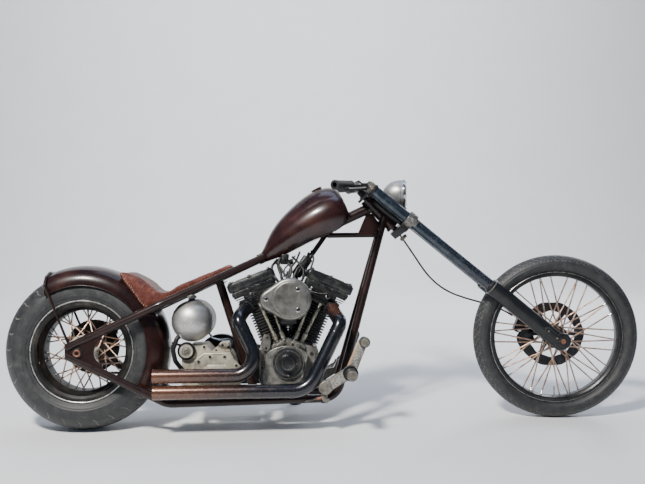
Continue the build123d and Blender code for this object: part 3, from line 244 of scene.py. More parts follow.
def arc_path(pts, radii, step=8.0):
    """Points along a polyline whose corners are rounded with the given radii."""
    pts = [Vector(p) for p in pts]
    out = [pts[0]]
    for i in range(1, len(pts) - 1):
        a, b, c = pts[i - 1], pts[i], pts[i + 1]
        d1, d2 = (a - b).normalized(), (c - b).normalized()
        ang = d1.angle(d2)
        r = radii[i - 1] if isinstance(radii, (list, tuple)) else radii
        cut = r / math.tan(ang / 2)
        p1, p2 = b + d1 * cut, b + d2 * cut
        mid = (d1 + d2).normalized()
        o = b + mid * (r / math.sin(ang / 2))
        sweep = math.pi - ang
        n = max(3, int(r * sweep / step))
        e1 = (p1 - o)
        e2 = (p2 - o)
        for k in range(n + 1):
            t = k / n
            out.append(o + (e1 * math.sin((1 - t) * sweep) + e2 * math.sin(t * sweep)) / math.sin(sweep))
    out.append(pts[-1])
    return out


# ------------------------------------------------------------------ materials
def new_mat(name):
    m = bpy.data.materials.new(name)
    m.use_nodes = True
    nt = m.node_tree
    for n in list(nt.nodes):
        nt.nodes.remove(n)
    out = nt.nodes.new("ShaderNodeOutputMaterial")
    b = nt.nodes.new("ShaderNodeBsdfPrincipled")
    nt.links.new(b.outputs["BSDF"], out.inputs["Surface"])
    return m, nt, b


def noise_node(nt, scale, detail=4.0, rough=0.55, vec=None, stretch=None, distortion=0.0):
    n = nt.nodes.new("ShaderNodeTexNoise")
    n.inputs["Scale"].default_value = scale
    n.inputs["Detail"].default_value = detail
    n.inputs["Roughness"].default_value = rough
    n.inputs["Distortion"].default_value = distortion
    if vec is None:
        vec = coords(nt)
    if stretch:
        mp = nt.nodes.new("ShaderNodeMapping")
        mp.inputs["Scale"].default_value = stretch
        nt.links.new(vec, mp.inputs["Vector"])
        vec = mp.outputs["Vector"]
    nt.links.new(vec, n.inputs["Vector"])
    return n


def coords(nt):
    for n in nt.nodes:
        if n.bl_idname == "ShaderNodeTexCoord":
            return n.outputs["Object"]
    return nt.nodes.new("ShaderNodeTexCoord").outputs["Object"]


def ramp(nt, fac, stops):
    r = nt.nodes.new("ShaderNodeValToRGB")
    el = r.color_ramp.elements
    while len(el) > 1:
        el.remove(el[-1])
    el[0].position, el[0].color = stops[0][0], (*stops[0][1], 1)
    for pos, col in stops[1:]:
        e = el.new(pos)
        e.color = (*col, 1)
    nt.links.new(fac, r.inputs["Fac"])
    return r.outputs["Color"]


def remap(nt, value, a, b, c, d, clamp=True):
    m = nt.nodes.new("ShaderNodeMapRange")
    m.clamp = clamp
    m.inputs["From Min"].default_value, m.inputs["From Max"].default_value = a, b
    m.inputs["To Min"].default_value, m.inputs["To Max"].default_value = c, d
    nt.links.new(value, m.inputs["Value"])
    return m.outputs["Result"]


def mix(nt, fac, a, b, blend="MIX"):
    m = nt.nodes.new("ShaderNodeMix")
    m.data_type = "RGBA"
    m.blend_type = blend
    for sock, v in ((0, fac), (6, a), (7, b)):
        if isinstance(v, (int, float)):
            m.inputs[sock].default_value = v
        elif isinstance(v, (tuple, list)):
            m.inputs[sock].default_value = (*v[:3], 1)
        else:
            nt.links.new(v, m.inputs[sock])
    return m.outputs[2]


def math_node(nt, op, a, b=None):
    m = nt.nodes.new("ShaderNodeMath")
    m.operation = op
    for i, v in enumerate((a, b)):
        if v is None:
            continue
        if isinstance(v, (int, float)):
            m.inputs[i].default_value = v
        else:
            nt.links.new(v, m.inputs[i])
    return m.outputs[0]


def edge_mask(nt, radius=0.0015, lo=0.02, hi=0.25):
    """Bright on edges: how far the rounded normal turns from the true one."""
    bev = nt.nodes.new("ShaderNodeBevel")
    bev.samples = 4
    bev.inputs["Radius"].default_value = radius
    geo = nt.nodes.new("ShaderNodeNewGeometry")
    dot = nt.nodes.new("ShaderNodeVectorMath")
    dot.operation = "DOT_PRODUCT"
    nt.links.new(bev.outputs["Normal"], dot.inputs[0])
    nt.links.new(geo.outputs["Normal"], dot.inputs[1])
    return remap(nt, math_node(nt, "SUBTRACT", 1.0, dot.outputs["Value"]), lo, hi, 0.0, 1.0), bev.outputs["Normal"]


def surface(name, tones, metal=0.0, rough=(0.3, 0.5), scale=25.0, grain=350.0, bump=0.08, bump_scale=None, coat=0.0, coat_rough=0.05,
            edge=None, edge_amount=0.7, stretch=None, spec=0.5, dirt=None, dirt_scale=9.0, bevel=0.0012, sheen=0.0, aniso=0.0, ior=1.5):
    """A painted, cast, brushed or polished surface: tones vary with a coarse and a fine noise, with worn edges and dirt where asked."""
    m, nt, b = new_mat(name)
    b.inputs["IOR"].default_value = ior
    b.inputs["Coat IOR"].default_value = ior
    big = noise_node(nt, scale, 6.0, 0.6, stretch=stretch)
    fine = noise_node(nt, grain, 3.0, 0.6, stretch=stretch)
    fac = mix(nt, 0.35, big.outputs["Fac"], fine.outputs["Fac"])
    n = len(tones)
    col = ramp(nt, fac, [(0.28 + 0.44 * i / max(n - 1, 1), t) for i, t in enumerate(tones)])
    normal = None
    if edge or bevel:
        mask, bn = edge_mask(nt, bevel or 0.0012)
        normal = bn
        if edge:
            worn = math_node(nt, "MULTIPLY", mask, remap(nt, big.outputs["Fac"], 0.35, 0.6, 0.2, edge_amount))
            col = mix(nt, worn, col, edge)
    if dirt:
        d = noise_node(nt, dirt_scale, 8.0, 0.65)
        col = mix(nt, remap(nt, d.outputs["Fac"], 0.5, 0.72, 0.0, 0.75), col, dirt)
    nt.links.new(col, b.inputs["Base Color"])
    nt.links.new(remap(nt, fac, 0.3, 0.7, rough[0], rough[1]), b.inputs["Roughness"])
    b.inputs["Metallic"].default_value = metal
    b.inputs["Specular IOR Level"].default_value = spec
    b.inputs["Coat Weight"].default_value = coat
    b.inputs["Coat Roughness"].default_value = coat_rough
    b.inputs["Anisotropic"].default_value = aniso
    if sheen:
        b.inputs["Sheen Weight"].default_value = sheen
    bp = nt.nodes.new("ShaderNodeBump")
    bp.inputs["Strength"].default_value = bump
    bp.inputs["Distance"].default_value = 0.0006
    src = noise_node(nt, bump_scale, 4.0, 0.6, stretch=stretch) if bump_scale else fine
    nt.links.new(src.outputs["Fac"], bp.inputs["Height"])
    if normal is not None:
        nt.links.new(normal, bp.inputs["Normal"])
    nt.links.new(bp.outputs["Normal"], b.inputs["Normal"])
    return m


M = {}
M["frame"] = surface("frame_paint_mat", [(0.007, 0.0035, 0.0035), (0.016, 0.008, 0.007), (0.028, 0.012, 0.010)], rough=(0.24, 0.34), scale=14, coat=0.5, coat_rough=0.09, ior=1.3, spec=0.5, bump=0.012, grain=600,
                     edge=(0.12, 0.06, 0.045), edge_amount=0.3)
M["tank"] = surface("tank_paint_mat", [(0.005, 0.0016, 0.002), (0.018, 0.0055, 0.005), (0.060, 0.020, 0.014)], rough=(0.24, 0.34), scale=11, coat=0.7, coat_rough=0.12, ior=1.38, spec=0.5, bump=0.012, grain=260, bevel=0.002)
M["fender"] = surface("fender_paint_mat", [(0.004, 0.0014, 0.002), (0.014, 0.0048, 0.0045), (0.050, 0.019, 0.013)], rough=(0.24, 0.36), scale=9, coat=0.5, coat_rough=0.1, ior=1.3, spec=0.5, bump=0.012, grain=300, bevel=0.002)
M["case"] = surface("case_metal_mat", [(0.06, 0.058, 0.052), (0.17, 0.165, 0.148), (0.36, 0.35, 0.32)], metal=0.55, rough=(0.36, 0.56), scale=34, grain=600, bump=0.45,
                    edge=(0.62, 0.61, 0.56), edge_amount=0.95, dirt=(0.022, 0.020, 0.016), dirt_scale=20)
M["fin"] = surface("fin_metal_mat", [(0.008, 0.008, 0.009), (0.02, 0.02, 0.021), (0.045, 0.045, 0.043)], metal=0.5, rough=(0.35, 0.55), scale=30, grain=800, bump=0.2,
                   edge=(0.42, 0.41, 0.38), edge_amount=0.9, bevel=0.0009)
M["cover"] = surface("cover_paint_mat", [(0.006, 0.0065, 0.007), (0.018, 0.019, 0.021), (0.05, 0.052, 0.054)], metal=0.5, rough=(0.24, 0.38), scale=22, grain=500, bump=0.25, edge=(0.42, 0.42, 0.4), dirt=(0.10, 0.095, 0.08), dirt_scale=26)
M["bright"] = surface("bright_metal_mat", [(0.34, 0.33, 0.31), (0.50, 0.49, 0.47), (0.66, 0.65, 0.63)], metal=1.0, rough=(0.12, 0.26), scale=40, bump=0.03)
M["aged"] = surface("aged_metal_mat", [(0.085, 0.082, 0.073), (0.19, 0.185, 0.168), (0.34, 0.335, 0.315)], metal=0.8, rough=(0.3, 0.46), scale=26, grain=420, bump=0.3, edge=(0.62, 0.61, 0.57), edge_amount=0.95, dirt=(0.06, 0.05, 0.028), dirt_scale=14, bevel=0.002)
M["gear"] = surface("gear_metal_mat", [(0.24, 0.215, 0.16), (0.44, 0.405, 0.32), (0.62, 0.585, 0.48)], metal=0.35, rough=(0.35, 0.55), scale=30, grain=500, bump=0.3, edge=(0.8, 0.77, 0.68), dirt=(0.05, 0.042, 0.034), dirt_scale=16)
M["black"] = surface("black_paint_mat", [(0.004, 0.004, 0.0045), (0.008, 0.008, 0.0085), (0.016, 0.016, 0.0165)], rough=(0.3, 0.46), scale=20, grain=800, bump=0.12, spec=0.35, edge=(0.10, 0.095, 0.09), edge_amount=0.5)
M["chain"] = surface("chain_steel_mat", [(0.02, 0.017, 0.015), (0.05, 0.043, 0.038), (0.12, 0.105, 0.09)], metal=0.8, rough=(0.3, 0.5), scale=60, bump=0.1)
M["worn"] = surface("worn_metal_mat", [(0.07, 0.064, 0.052), (0.17, 0.157, 0.13), (0.31, 0.295, 0.255)], metal=0.5, rough=(0.36, 0.58), scale=60, grain=420, bump=0.6, edge=(0.66, 0.64, 0.58), dirt=(0.035, 0.028, 0.02), dirt_scale=46)
M["copper"] = surface("axle_steel_mat", [(0.12, 0.05, 0.03), (0.25, 0.12, 0.08), (0.42, 0.24, 0.17)], metal=0.8, rough=(0.35, 0.55), scale=70, bump=0.2)
M["hub"] = surface("hub_metal_mat", [(0.008, 0.0075, 0.007), (0.022, 0.02, 0.018), (0.06, 0.056, 0.05)], metal=0.5, rough=(0.35, 0.55), scale=40, bump=0.15, edge=(0.42, 0.4, 0.36))
M["slider"] = surface("slider_paint_mat", [(0.005, 0.0055, 0.006), (0.013, 0.0135, 0.0145), (0.032, 0.033, 0.034)], metal=0.3, rough=(0.26, 0.44), scale=16, grain=400, bump=0.15, edge=(0.24, 0.24, 0.24))
M["lever"] = surface("lever_paint_mat", [(0.004, 0.0035, 0.0035), (0.008, 0.007, 0.007), (0.018, 0.014, 0.012)], rough=(0.34, 0.5), scale=30, bump=0.1, spec=0.35, edge=(0.12, 0.10, 0.085), edge_amount=0.5)
M["disc"] = surface("disc_steel_mat", [(0.018, 0.019, 0.022), (0.04, 0.041, 0.045), (0.08, 0.082, 0.088)], metal=0.8, rough=(0.3, 0.5), scale=30, bump=0.1, edge=(0.3, 0.3, 0.3))
M["hose"] = surface("hose_rubber_mat", [(0.006, 0.006, 0.007), (0.012, 0.012, 0.012), (0.02, 0.02, 0.02)], rough=(0.4, 0.55), scale=80, bump=0.2, bevel=0.0)
M["grip"] = surface("grip_rubber_mat", [(0.004, 0.004, 0.005), (0.009, 0.009, 0.010), (0.018, 0.019, 0.021)], rough=(0.5, 0.68), scale=60, grain=900, bump=0.35, bevel=0.0)
M["blackrim"] = surface("black_rim_mat", [(0.01, 0.01, 0.011), (0.022, 0.022, 0.023), (0.05, 0.05, 0.05)], metal=0.6, rough=(0.24, 0.4), scale=14, bump=0.1, edge=(0.4, 0.4, 0.4), edge_amount=0.9)
M["lip"] = surface("rim_lip_mat", [(0.5, 0.49, 0.47), (0.72, 0.71, 0.68), (0.88, 0.88, 0.86)], metal=0.9, rough=(0.2, 0.36), scale=40, bump=0.05, bevel=0.0)
M["rim"] = surface("rim_metal_mat", [(0.004, 0.004, 0.0038), (0.010, 0.0095, 0.009), (0.028, 0.026, 0.024)], metal=0.3, rough=(0.34, 0.5), scale=14, bump=0.15, spec=0.4, edge=(0.4, 0.39, 0.36), dirt=(0.075, 0.068, 0.056), dirt_scale=12)
M["glass"], _nt, _b = new_mat("lamp_glass_mat")
_b.inputs["Roughness"].default_value = 0.03
_b.inputs["Transmission Weight"].default_value = 0.9
_b.inputs["IOR"].default_value = 1.45
_n = noise_node(_nt, 300, 2)
_nt.links.new(ramp(_nt, _n.outputs["Fac"], [(0.3, (0.86, 0.88, 0.9)), (0.7, (0.97, 0.98, 1.0))]), _b.inputs["Base Color"])


def spokes_mat():
    m, nt, b = new_mat("spoke_steel_mat")
    n = noise_node(nt, 30, 6, 0.7)
    col = ramp(nt, n.outputs["Fac"], [(0.3, (0.19, 0.10, 0.065)), (0.48, (0.42, 0.26, 0.18)), (0.62, (0.62, 0.5, 0.42)), (0.75, (0.78, 0.74, 0.7))])
    nt.links.new(col, b.inputs["Base Color"])
    b.inputs["Metallic"].default_value = 0.75
    nt.links.new(remap(nt, n.outputs["Fac"], 0.3, 0.7, 0.4, 0.25), b.inputs["Roughness"])
    return m


M["spoke"] = spokes_mat()


def chrome_mat():
    """Blued hard chrome: dark steel blue with brown freckles, more of them towards the axle."""
    m, nt, b = new_mat("fork_chrome_mat")
    n = noise_node(nt, 26, 7, 0.65)
    f = noise_node(nt, 160, 6, 0.7)
    col = ramp(nt, n.outputs["Fac"], [(0.3, (0.010, 0.016, 0.024)), (0.5, (0.026, 0.038, 0.052)), (0.7, (0.06, 0.078, 0.095))])
    sep = nt.nodes.new("ShaderNodeSeparateXYZ")
    nt.links.new(coords(nt), sep.inputs["Vector"])
    low = remap(nt, sep.outputs["Z"], 0.85, 0.5, 0.0, 0.12)
    spots = remap(nt, math_node(nt, "ADD", f.outputs["Fac"], low), 0.60, 0.76, 0.0, 0.7)
    col = mix(nt, spots, col, (0.13, 0.075, 0.045))
    b.inputs["Coat Weight"].default_value = 0.35
    b.inputs["Coat Roughness"].default_value = 0.18
    nt.links.new(col, b.inputs["Base Color"])
    nt.links.new(remap(nt, spots, 0.0, 0.8, 0.55, 0.2), b.inputs["Metallic"])
    rough = math_node(nt, "ADD", remap(nt, n.outputs["Fac"], 0.3, 0.7, 0.2, 0.3), math_node(nt, "MULTIPLY", spots, 0.3))
    nt.links.new(rough, b.inputs["Roughness"])
    return m


M["chrome"] = chrome_mat()


def brushed_mat(name, axis_vec, tones, rough=(0.26, 0.4), metal=1.0):
    """Brushed metal: fine streaks that run round the axis of the piece."""
    m, nt, b = new_mat(name)
    n = noise_node(nt, 60, 8, 0.7, stretch=axis_vec)
    n2 = noise_node(nt, 9, 5, 0.6)
    fac = mix(nt, 0.5, n.outputs["Fac"], n2.outputs["Fac"])
    nt.links.new(ramp(nt, fac, [(0.35, tones[0]), (0.5, tones[1]), (0.65, tones[2])]), b.inputs["Base Color"])
    b.inputs["Metallic"].default_value = metal
    nt.links.new(remap(nt, fac, 0.3, 0.7, rough[0], rough[1]), b.inputs["Roughness"])
    bp = nt.nodes.new("ShaderNodeBump")
    bp.inputs["Strength"].default_value = 0.2
    bp.inputs["Distance"].default_value = 0.0004
    nt.links.new(n.outputs["Fac"], bp.inputs["Height"])
    nt.links.new(bp.outputs["Normal"], b.inputs["Normal"])
    return m


M["oiltank"] = brushed_mat("tank_steel_mat", (12.0, 12.0, 1.2), [(0.13, 0.128, 0.118), (0.40, 0.395, 0.375), (0.72, 0.715, 0.69)], rough=(0.34, 0.5), metal=0.85)
M["lamp"] = brushed_mat("lamp_steel_mat", (14.0, 1.0, 1.0), [(0.17, 0.172, 0.17), (0.36, 0.36, 0.35), (0.60, 0.60, 0.585)], rough=(0.34, 0.48), metal=0.85)


def pipes_mat():
    """Heat-tinted steel: blue-black near the heads, brown to bronze towards the open ends."""
    m, nt, b = new_mat("pipe_metal_mat")
    sep = nt.nodes.new("ShaderNodeSeparateXYZ")
    nt.links.new(coords(nt), sep.inputs["Vector"])
    n = noise_node(nt, 16, 8, 0.65)
    x = math_node(nt, "ADD", sep.outputs["X"], math_node(nt, "MULTIPLY", math_node(nt, "SUBTRACT", n.outputs["Fac"], 0.5), 0.16))
    fac = remap(nt, x, -0.72, -0.12, 0.0, 1.0)
    col = ramp(nt, fac, [(0.0, (0.13, 0.055, 0.028)), (0.3, (0.085, 0.036, 0.022)), (0.5, (0.04, 0.019, 0.015)), (0.66, (0.013, 0.0095, 0.011)), (0.9, (0.007, 0.0085, 0.013))])
    n3 = noise_node(nt, 90, 5, 0.6)
    col = mix(nt, math_node(nt, "MULTIPLY", remap(nt, n3.outputs["Fac"], 0.5, 0.75, 0.0, 0.3), remap(nt, x, -0.1, -0.3, 0.1, 1.0)), col, (0.24, 0.13, 0.08))
    col = mix(nt, remap(nt, math_node(nt, "ADD", sep.outputs["Z"], math_node(nt, "MULTIPLY", math_node(nt, "SUBTRACT", n.outputs["Fac"], 0.5), 0.04)), 0.262, 0.305, 0.0, 0.92), col, (0.007, 0.0085, 0.012))
    warm = math_node(nt, "MULTIPLY", remap(nt, math_node(nt, "ADD", sep.outputs["Z"], math_node(nt, "MULTIPLY", math_node(nt, "SUBTRACT", n3.outputs["Fac"], 0.5), 0.05)), 0.468, 0.486, 0.0, 0.6), remap(nt, sep.outputs["X"], 0.0, 0.02, 0.0, 1.0))
    col = mix(nt, warm, col, (0.15, 0.065, 0.045))
    nt.links.new(col, b.inputs["Base Color"])
    b.inputs["Metallic"].default_value = 0.5
    nt.links.new(remap(nt, n.outputs["Fac"], 0.3, 0.7, 0.2, 0.36), b.inputs["Roughness"])
    b.inputs["Coat Weight"].default_value = 0.8
    b.inputs["Coat Roughness"].default_value = 0.12
    return m


M["pipe"] = pipes_mat()


def tyre_mat(name):
    m, nt, b = new_mat(name)
    n = noise_node(nt, 34, 10, 0.75)
    f = noise_node(nt, 500, 3, 0.6)
    fac = mix(nt, 0.3, n.outputs["Fac"], f.outputs["Fac"])
    nt.links.new(ramp(nt, fac, [(0.36, (0.008, 0.0085, 0.009)), (0.48, (0.017, 0.018, 0.019)), (0.58, (0.034, 0.034, 0.034)), (0.70, (0.095, 0.094, 0.09))]), b.inputs["Base Color"])
    nt.links.new(remap(nt, fac, 0.3, 0.7, 0.42, 0.7), b.inputs["Roughness"])
    b.inputs["Specular IOR Level"].default_value = 0.55
    bp = nt.nodes.new("ShaderNodeBump")
    bp.inputs["Strength"].default_value = 0.2
    bp.inputs["Distance"].default_value = 0.0004
    nt.links.new(f.outputs["Fac"], bp.inputs["Height"])
    nt.links.new(bp.outputs["Normal"], b.inputs["Normal"])
    return m


M["tyre"] = tyre_mat("tyre_rubber_mat")


def leather_mat():
    m, nt, b = new_mat("seat_leather_mat")
    vor = nt.nodes.new("ShaderNodeTexVoronoi")
    vor.inputs["Scale"].default_value = 420
    vor.feature = "DISTANCE_TO_EDGE"
    nt.links.new(coords(nt), vor.inputs["Vector"])
    n = noise_node(nt, 14, 8, 0.65)
    f = noise_node(nt, 120, 6, 0.65)
    fac = mix(nt, 0.4, n.outputs["Fac"], f.outputs["Fac"])
    col = ramp(nt, fac, [(0.32, (0.028, 0.007, 0.006)), (0.45, (0.075, 0.019, 0.014)), (0.56, (0.15, 0.045, 0.032)), (0.68, (0.34, 0.15, 0.11))])
    crease = remap(nt, vor.outputs["Distance"], 0.0, 0.08, 0.0, 1.0)
    col = mix(nt, crease, (0.05, 0.014, 0.008), col)
    nt.links.new(col, b.inputs["Base Color"])
    nt.links.new(remap(nt, fac, 0.3, 0.7, 0.40, 0.54), b.inputs["Roughness"])
    b.inputs["Coat Weight"].default_value = 0.12
    b.inputs["Coat Roughness"].default_value = 0.25
    b.inputs["Coat IOR"].default_value = 1.3
    b.inputs["IOR"].default_value = 1.28
    bp = nt.nodes.new("ShaderNodeBump")
    bp.inputs["Strength"].default_value = 0.5
    bp.inputs["Distance"].default_value = 0.0007
    nt.links.new(crease, bp.inputs["Height"])
    nt.links.new(bp.outputs["Normal"], b.inputs["Normal"])
    return m


M["leather"] = leather_mat()
M["welt"] = surface("welt_leather_mat", [(0.05, 0.014, 0.009), (0.10, 0.03, 0.018), (0.17, 0.055, 0.03)], rough=(0.35, 0.5), scale=90, bump=0.4, bevel=0.0)
M["dust"] = surface("tread_dust_mat", [(0.07, 0.069, 0.064), (0.14, 0.138, 0.128), (0.26, 0.255, 0.24)], rough=(0.7, 0.9), scale=40, grain=600, bump=0.2, bevel=0.0)
M["gusset"] = surface("gusset_metal_mat", [(0.05, 0.024, 0.019), (0.12, 0.06, 0.048), (0.22, 0.125, 0.10)], metal=0.3, rough=(0.4, 0.6), scale=50, bump=0.2, edge=(0.4, 0.37, 0.33))
M["alu"] = surface("cast_alloy_mat", [(0.06, 0.058, 0.05), (0.15, 0.145, 0.125), (0.30, 0.29, 0.26)], metal=0.65, rough=(0.34, 0.52), scale=40, grain=600, bump=0.3, edge=(0.62, 0.61, 0.56), dirt=(0.03, 0.026, 0.02), dirt_scale=22)
M["collar"] = surface("collar_metal_mat", [(0.07, 0.066, 0.062), (0.15, 0.145, 0.135), (0.30, 0.29, 0.275)], metal=0.7, rough=(0.3, 0.46), scale=60, grain=500, bump=0.25, edge=(0.7, 0.69, 0.66), dirt=(0.07, 0.055, 0.045), dirt_scale=40)
M["pitted"] = surface("pitted_metal_mat", [(0.035, 0.032, 0.028), (0.16, 0.153, 0.137), (0.36, 0.35, 0.32), (0.58, 0.565, 0.53)], metal=0.35, rough=(0.45, 0.7), scale=110, grain=300, bump=1.0, bump_scale=200, edge=(0.66, 0.64, 0.58), dirt=(0.06, 0.05, 0.04), dirt_scale=60)
M["rod"] = surface("pushrod_metal_mat", [(0.20, 0.175, 0.12), (0.42, 0.39, 0.30), (0.68, 0.65, 0.56)], metal=0.7, rough=(0.22, 0.36), scale=40, bump=0.1, bevel=0.0)
M["tan"] = surface("tan_edge_mat", [(0.30, 0.17, 0.09), (0.48, 0.30, 0.17), (0.62, 0.44, 0.28)], rough=(0.4, 0.6), scale=60, bump=0.3)
M["edge"] = surface("machined_edge_mat", [(0.22, 0.22, 0.21), (0.36, 0.355, 0.34), (0.52, 0.515, 0.5)], metal=0.85, rough=(0.28, 0.42), scale=50, bump=0.1)
M["rust"] = surface("rusty_steel_mat", [(0.07, 0.028, 0.016), (0.17, 0.075, 0.045), (0.32, 0.18, 0.12)], metal=0.55, rough=(0.45, 0.65), scale=60, grain=500, bump=0.3, edge=(0.45, 0.33, 0.26))
M["cable"] = surface("cable_sheath_mat", [(0.035, 0.05, 0.075), (0.06, 0.08, 0.115), (0.10, 0.13, 0.17)], rough=(0.3, 0.45), scale=50, bump=0.1, bevel=0.0)
M["lace"] = surface("lace_mat", [(0.30, 0.15, 0.09), (0.46, 0.27, 0.18), (0.62, 0.42, 0.30)], rough=(0.5, 0.7), scale=120, bump=0.4, bevel=0.0)

NODE_MATS = {
    "axle_plates": "frame", "head_frame": "frame", "upper_rails": "frame", "down_tubes": "frame", "bottom_frame": "frame", "centre_frame": "frame",
    "rear_fender": "fender", "fender_stay": "frame", "fuel_tank": "tank", "seat": "leather", "crankcase": "case", "cylinders": "fin", "rocker_covers": "cover",
    "cam_cover": "case", "pushrod_tubes": "rod", "air_cleaner": "aged", "exhaust_pipes": "pipe", "gearbox": "gear", "gearbox_cover": "gear",
    "primary_cover": "black", "drive_chain": "chain", "oil_tank": "oiltank", "foot_controls": "worn", "rear_tyre": "tyre", "rear_rim": "rim", "rear_hub": "hub",
    "rear_spokes": "spoke", "side_stand": "black", "fork_tubes": "chrome", "fork_sliders": "slider", "front_axle": "copper", "lower_clamp": "black",
    "top_clamp": "black", "handlebar": "black", "grips": "grip", "hand_controls": "lever", "headlight": "lamp", "headlight_lens": "glass", "front_tyre": "tyre",
    "front_rim": "blackrim", "front_hub": "hub", "front_spokes": "spoke", "front_disc": "disc", "front_caliper": "lever", "brake_hose": "hose"}
for node, key in NODE_MATS.items():
    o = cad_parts[node]
    o.data.materials.clear()
    o.data.materials.append(M[key])

# ------------------------------------------------------------------ camera, floor, light
scene = bpy.context.scene
cam_data = bpy.data.cameras.new("camera")
cam_data.sensor_width = 36.0
cam_data.lens = 44.466
cam_data.clip_start, cam_data.clip_end = 0.05, 100
cam = bpy.data.objects.new("camera", cam_data)
scene.collection.objects.link(cam)
right = Vector((0.99874248, -0.0488553, -0.01125258))
fwd = Vector((0.04784551, 0.99587033, -0.07715627))
up = Vector((0.0149756, 0.07652086, 0.99695551))
cam.matrix_world = Matrix(((right.x, up.x, -fwd.x, -0.166738), (right.y, up.y, -fwd.y, -3.379217), (right.z, up.z, -fwd.z, 1.017215), (0, 0, 0, 1)))
scene.camera = cam


def stage_mesh(name, verts, faces, tone, rough):
    me = bpy.data.meshes.new(name)
    me.from_pydata(verts, [], faces)
    o = bpy.data.objects.new(name, me)
    scene.collection.objects.link(o)
    m, nt, b = new_mat(name + "_mat")
    n = noise_node(nt, 3, 3)
    nt.links.new(ramp(nt, n.outputs["Fac"], [(0.3, tone), (0.7, tuple(min(1, c * 1.03) for c in tone))]), b.inputs["Base Color"])
    b.inputs["Roughness"].default_value = rough
    me.materials.append(m)
    return o


# floor that curves up into a pale wall behind the bike
_rows = [(-30.0, -0.0005), (4.0, -0.0005)] + [(4.0 + 3.0 * math.sin(math.radians(a)), -0.0005 + 3.0 * (1 - math.cos(math.radians(a)))) for a in range(6, 91, 6)] + [(7.0, 12.0)]
_v = [(x, y, z) for y, z in _rows for x in (-30, 30)]
_stage = stage_mesh("floor", _v, [(2 * i, 2 * i + 1, 2 * i + 3, 2 * i + 2) for i in range(len(_rows) - 1)], (0.72, 0.73, 0.74), 0.7)
for _p in _stage.data.polygons:
    _p.use_smooth = True

world = bpy.data.worlds.new("world")
world.use_nodes = True
scene.world = world
wn = world.node_tree
for n in list(wn.nodes):
    wn.nodes.remove(n)
wo = wn.nodes.new("ShaderNodeOutputWorld")
bg = wn.nodes.new("ShaderNodeBackground")
wtc = wn.nodes.new("ShaderNodeTexCoord")
wsep = wn.nodes.new("ShaderNodeSeparateXYZ")
wn.links.new(wtc.outputs["Generated"], wsep.inputs["Vector"])
wr = wn.nodes.new("ShaderNodeValToRGB")
wr.color_ramp.elements[0].position, wr.color_ramp.elements[0].color = 0.0, (0.035, 0.036, 0.032, 1)
wr.color_ramp.elements[1].position, wr.color_ramp.elements[1].color = 1.0, (0.07, 0.13, 0.30, 1)
for pos, tone in ((0.12, (0.055, 0.058, 0.05)), (0.26, (0.20, 0.24, 0.30)), (0.55, (0.12, 0.19, 0.34))):
    e = wr.color_ramp.elements.new(pos)
    e.color = (*tone, 1)
wn.links.new(wsep.outputs["Z"], wr.inputs["Fac"])
wn.links.new(wr.outputs["Color"], bg.inputs["Color"])
bg.inputs["Strength"].default_value = 0.75
wn.links.new(bg.outputs["Background"], wo.inputs["Surface"])


def area(name, loc, target, size, power, colour):
    d = bpy.data.lights.new(name, "AREA")
    d.shape = "RECTANGLE"
    d.size, d.size_y = size
    d.energy = power
    d.color = colour
    o = bpy.data.objects.new(name, d)
    o.location = loc
    o.rotation_euler = (Vector(target) - Vector(loc)).to_track_quat("-Z", "Y").to_euler()
    scene.collection.objects.link(o)
    return o


area("key", (-2.0, -3.2, 4.5), (0.0, 0, 0.5), (0.8, 0.6), 560, (1.0, 0.965, 0.91))
area("sky", (0.4, 0.6, 4.4), (0.1, 0, 0.4), (3.0, 1.6), 42, (0.62, 0.76, 1.0))
area("rim_light", (2.8, 2.6, 2.2), (0.1, 0, 0.5), (1.2, 1.2), 45, (0.95, 0.97, 1.0))
area("backdrop", (0.0, 2.6, 4.6), (0.0, 7.0, 1.2), (7.0, 1.0), 420, (1.0, 1.0, 1.0))

# ------------------------------------------------------------------ DETAILS
Y = Vector((0, 1, 0))


def tyre_mesh(name, body, centre, half_profile, cols, tread_from, grooves, dusty, replaces):
    """Tyre from one side's profile of (y, r) points, mirrored; grooves(angle, y) gives the depth cut into the tread."""
    pts = [(y, r) for y, r in half_profile] + [(-y, r) for y, r in reversed(half_profile[:-1])]
    p = Piece(name, body, "tyre_rubber", M["tyre"], sharp=50, replaces=replaces)
    rows = []
    for y, r in pts:
        row = []
        for k in range(cols):
            a = 2 * math.pi * k / cols
            rr = r - (grooves(a, y, r) if r > tread_from else 0.0)
            row.append(centre + Vector((rr * math.cos(a), y, rr * math.sin(a))))
        rows.append(row)
    p.grid(rows, wrap_cols=True)
    inner = [[centre + Vector((pts[i][1] * math.cos(2 * math.pi * k / cols), pts[i][0], pts[i][1] * math.sin(2 * math.pi * k / cols))) for k in range(cols)] for i in (-1, 0)]
    p.grid(inner, wrap_cols=True)
    o = p.build()
    # dust lies in the cuts
    o.data.materials.append(M["dust"])
    back = BODY_PLACE[body].inverted()
    for poly in o.data.polygons:
        q = back @ poly.center - centre
        r = math.hypot(q.x, q.z)
        if r > tread_from - 3 and grooves(math.atan2(q.z, q.x), q.y, r) > dusty:
            poly.material_index = 1
    return o


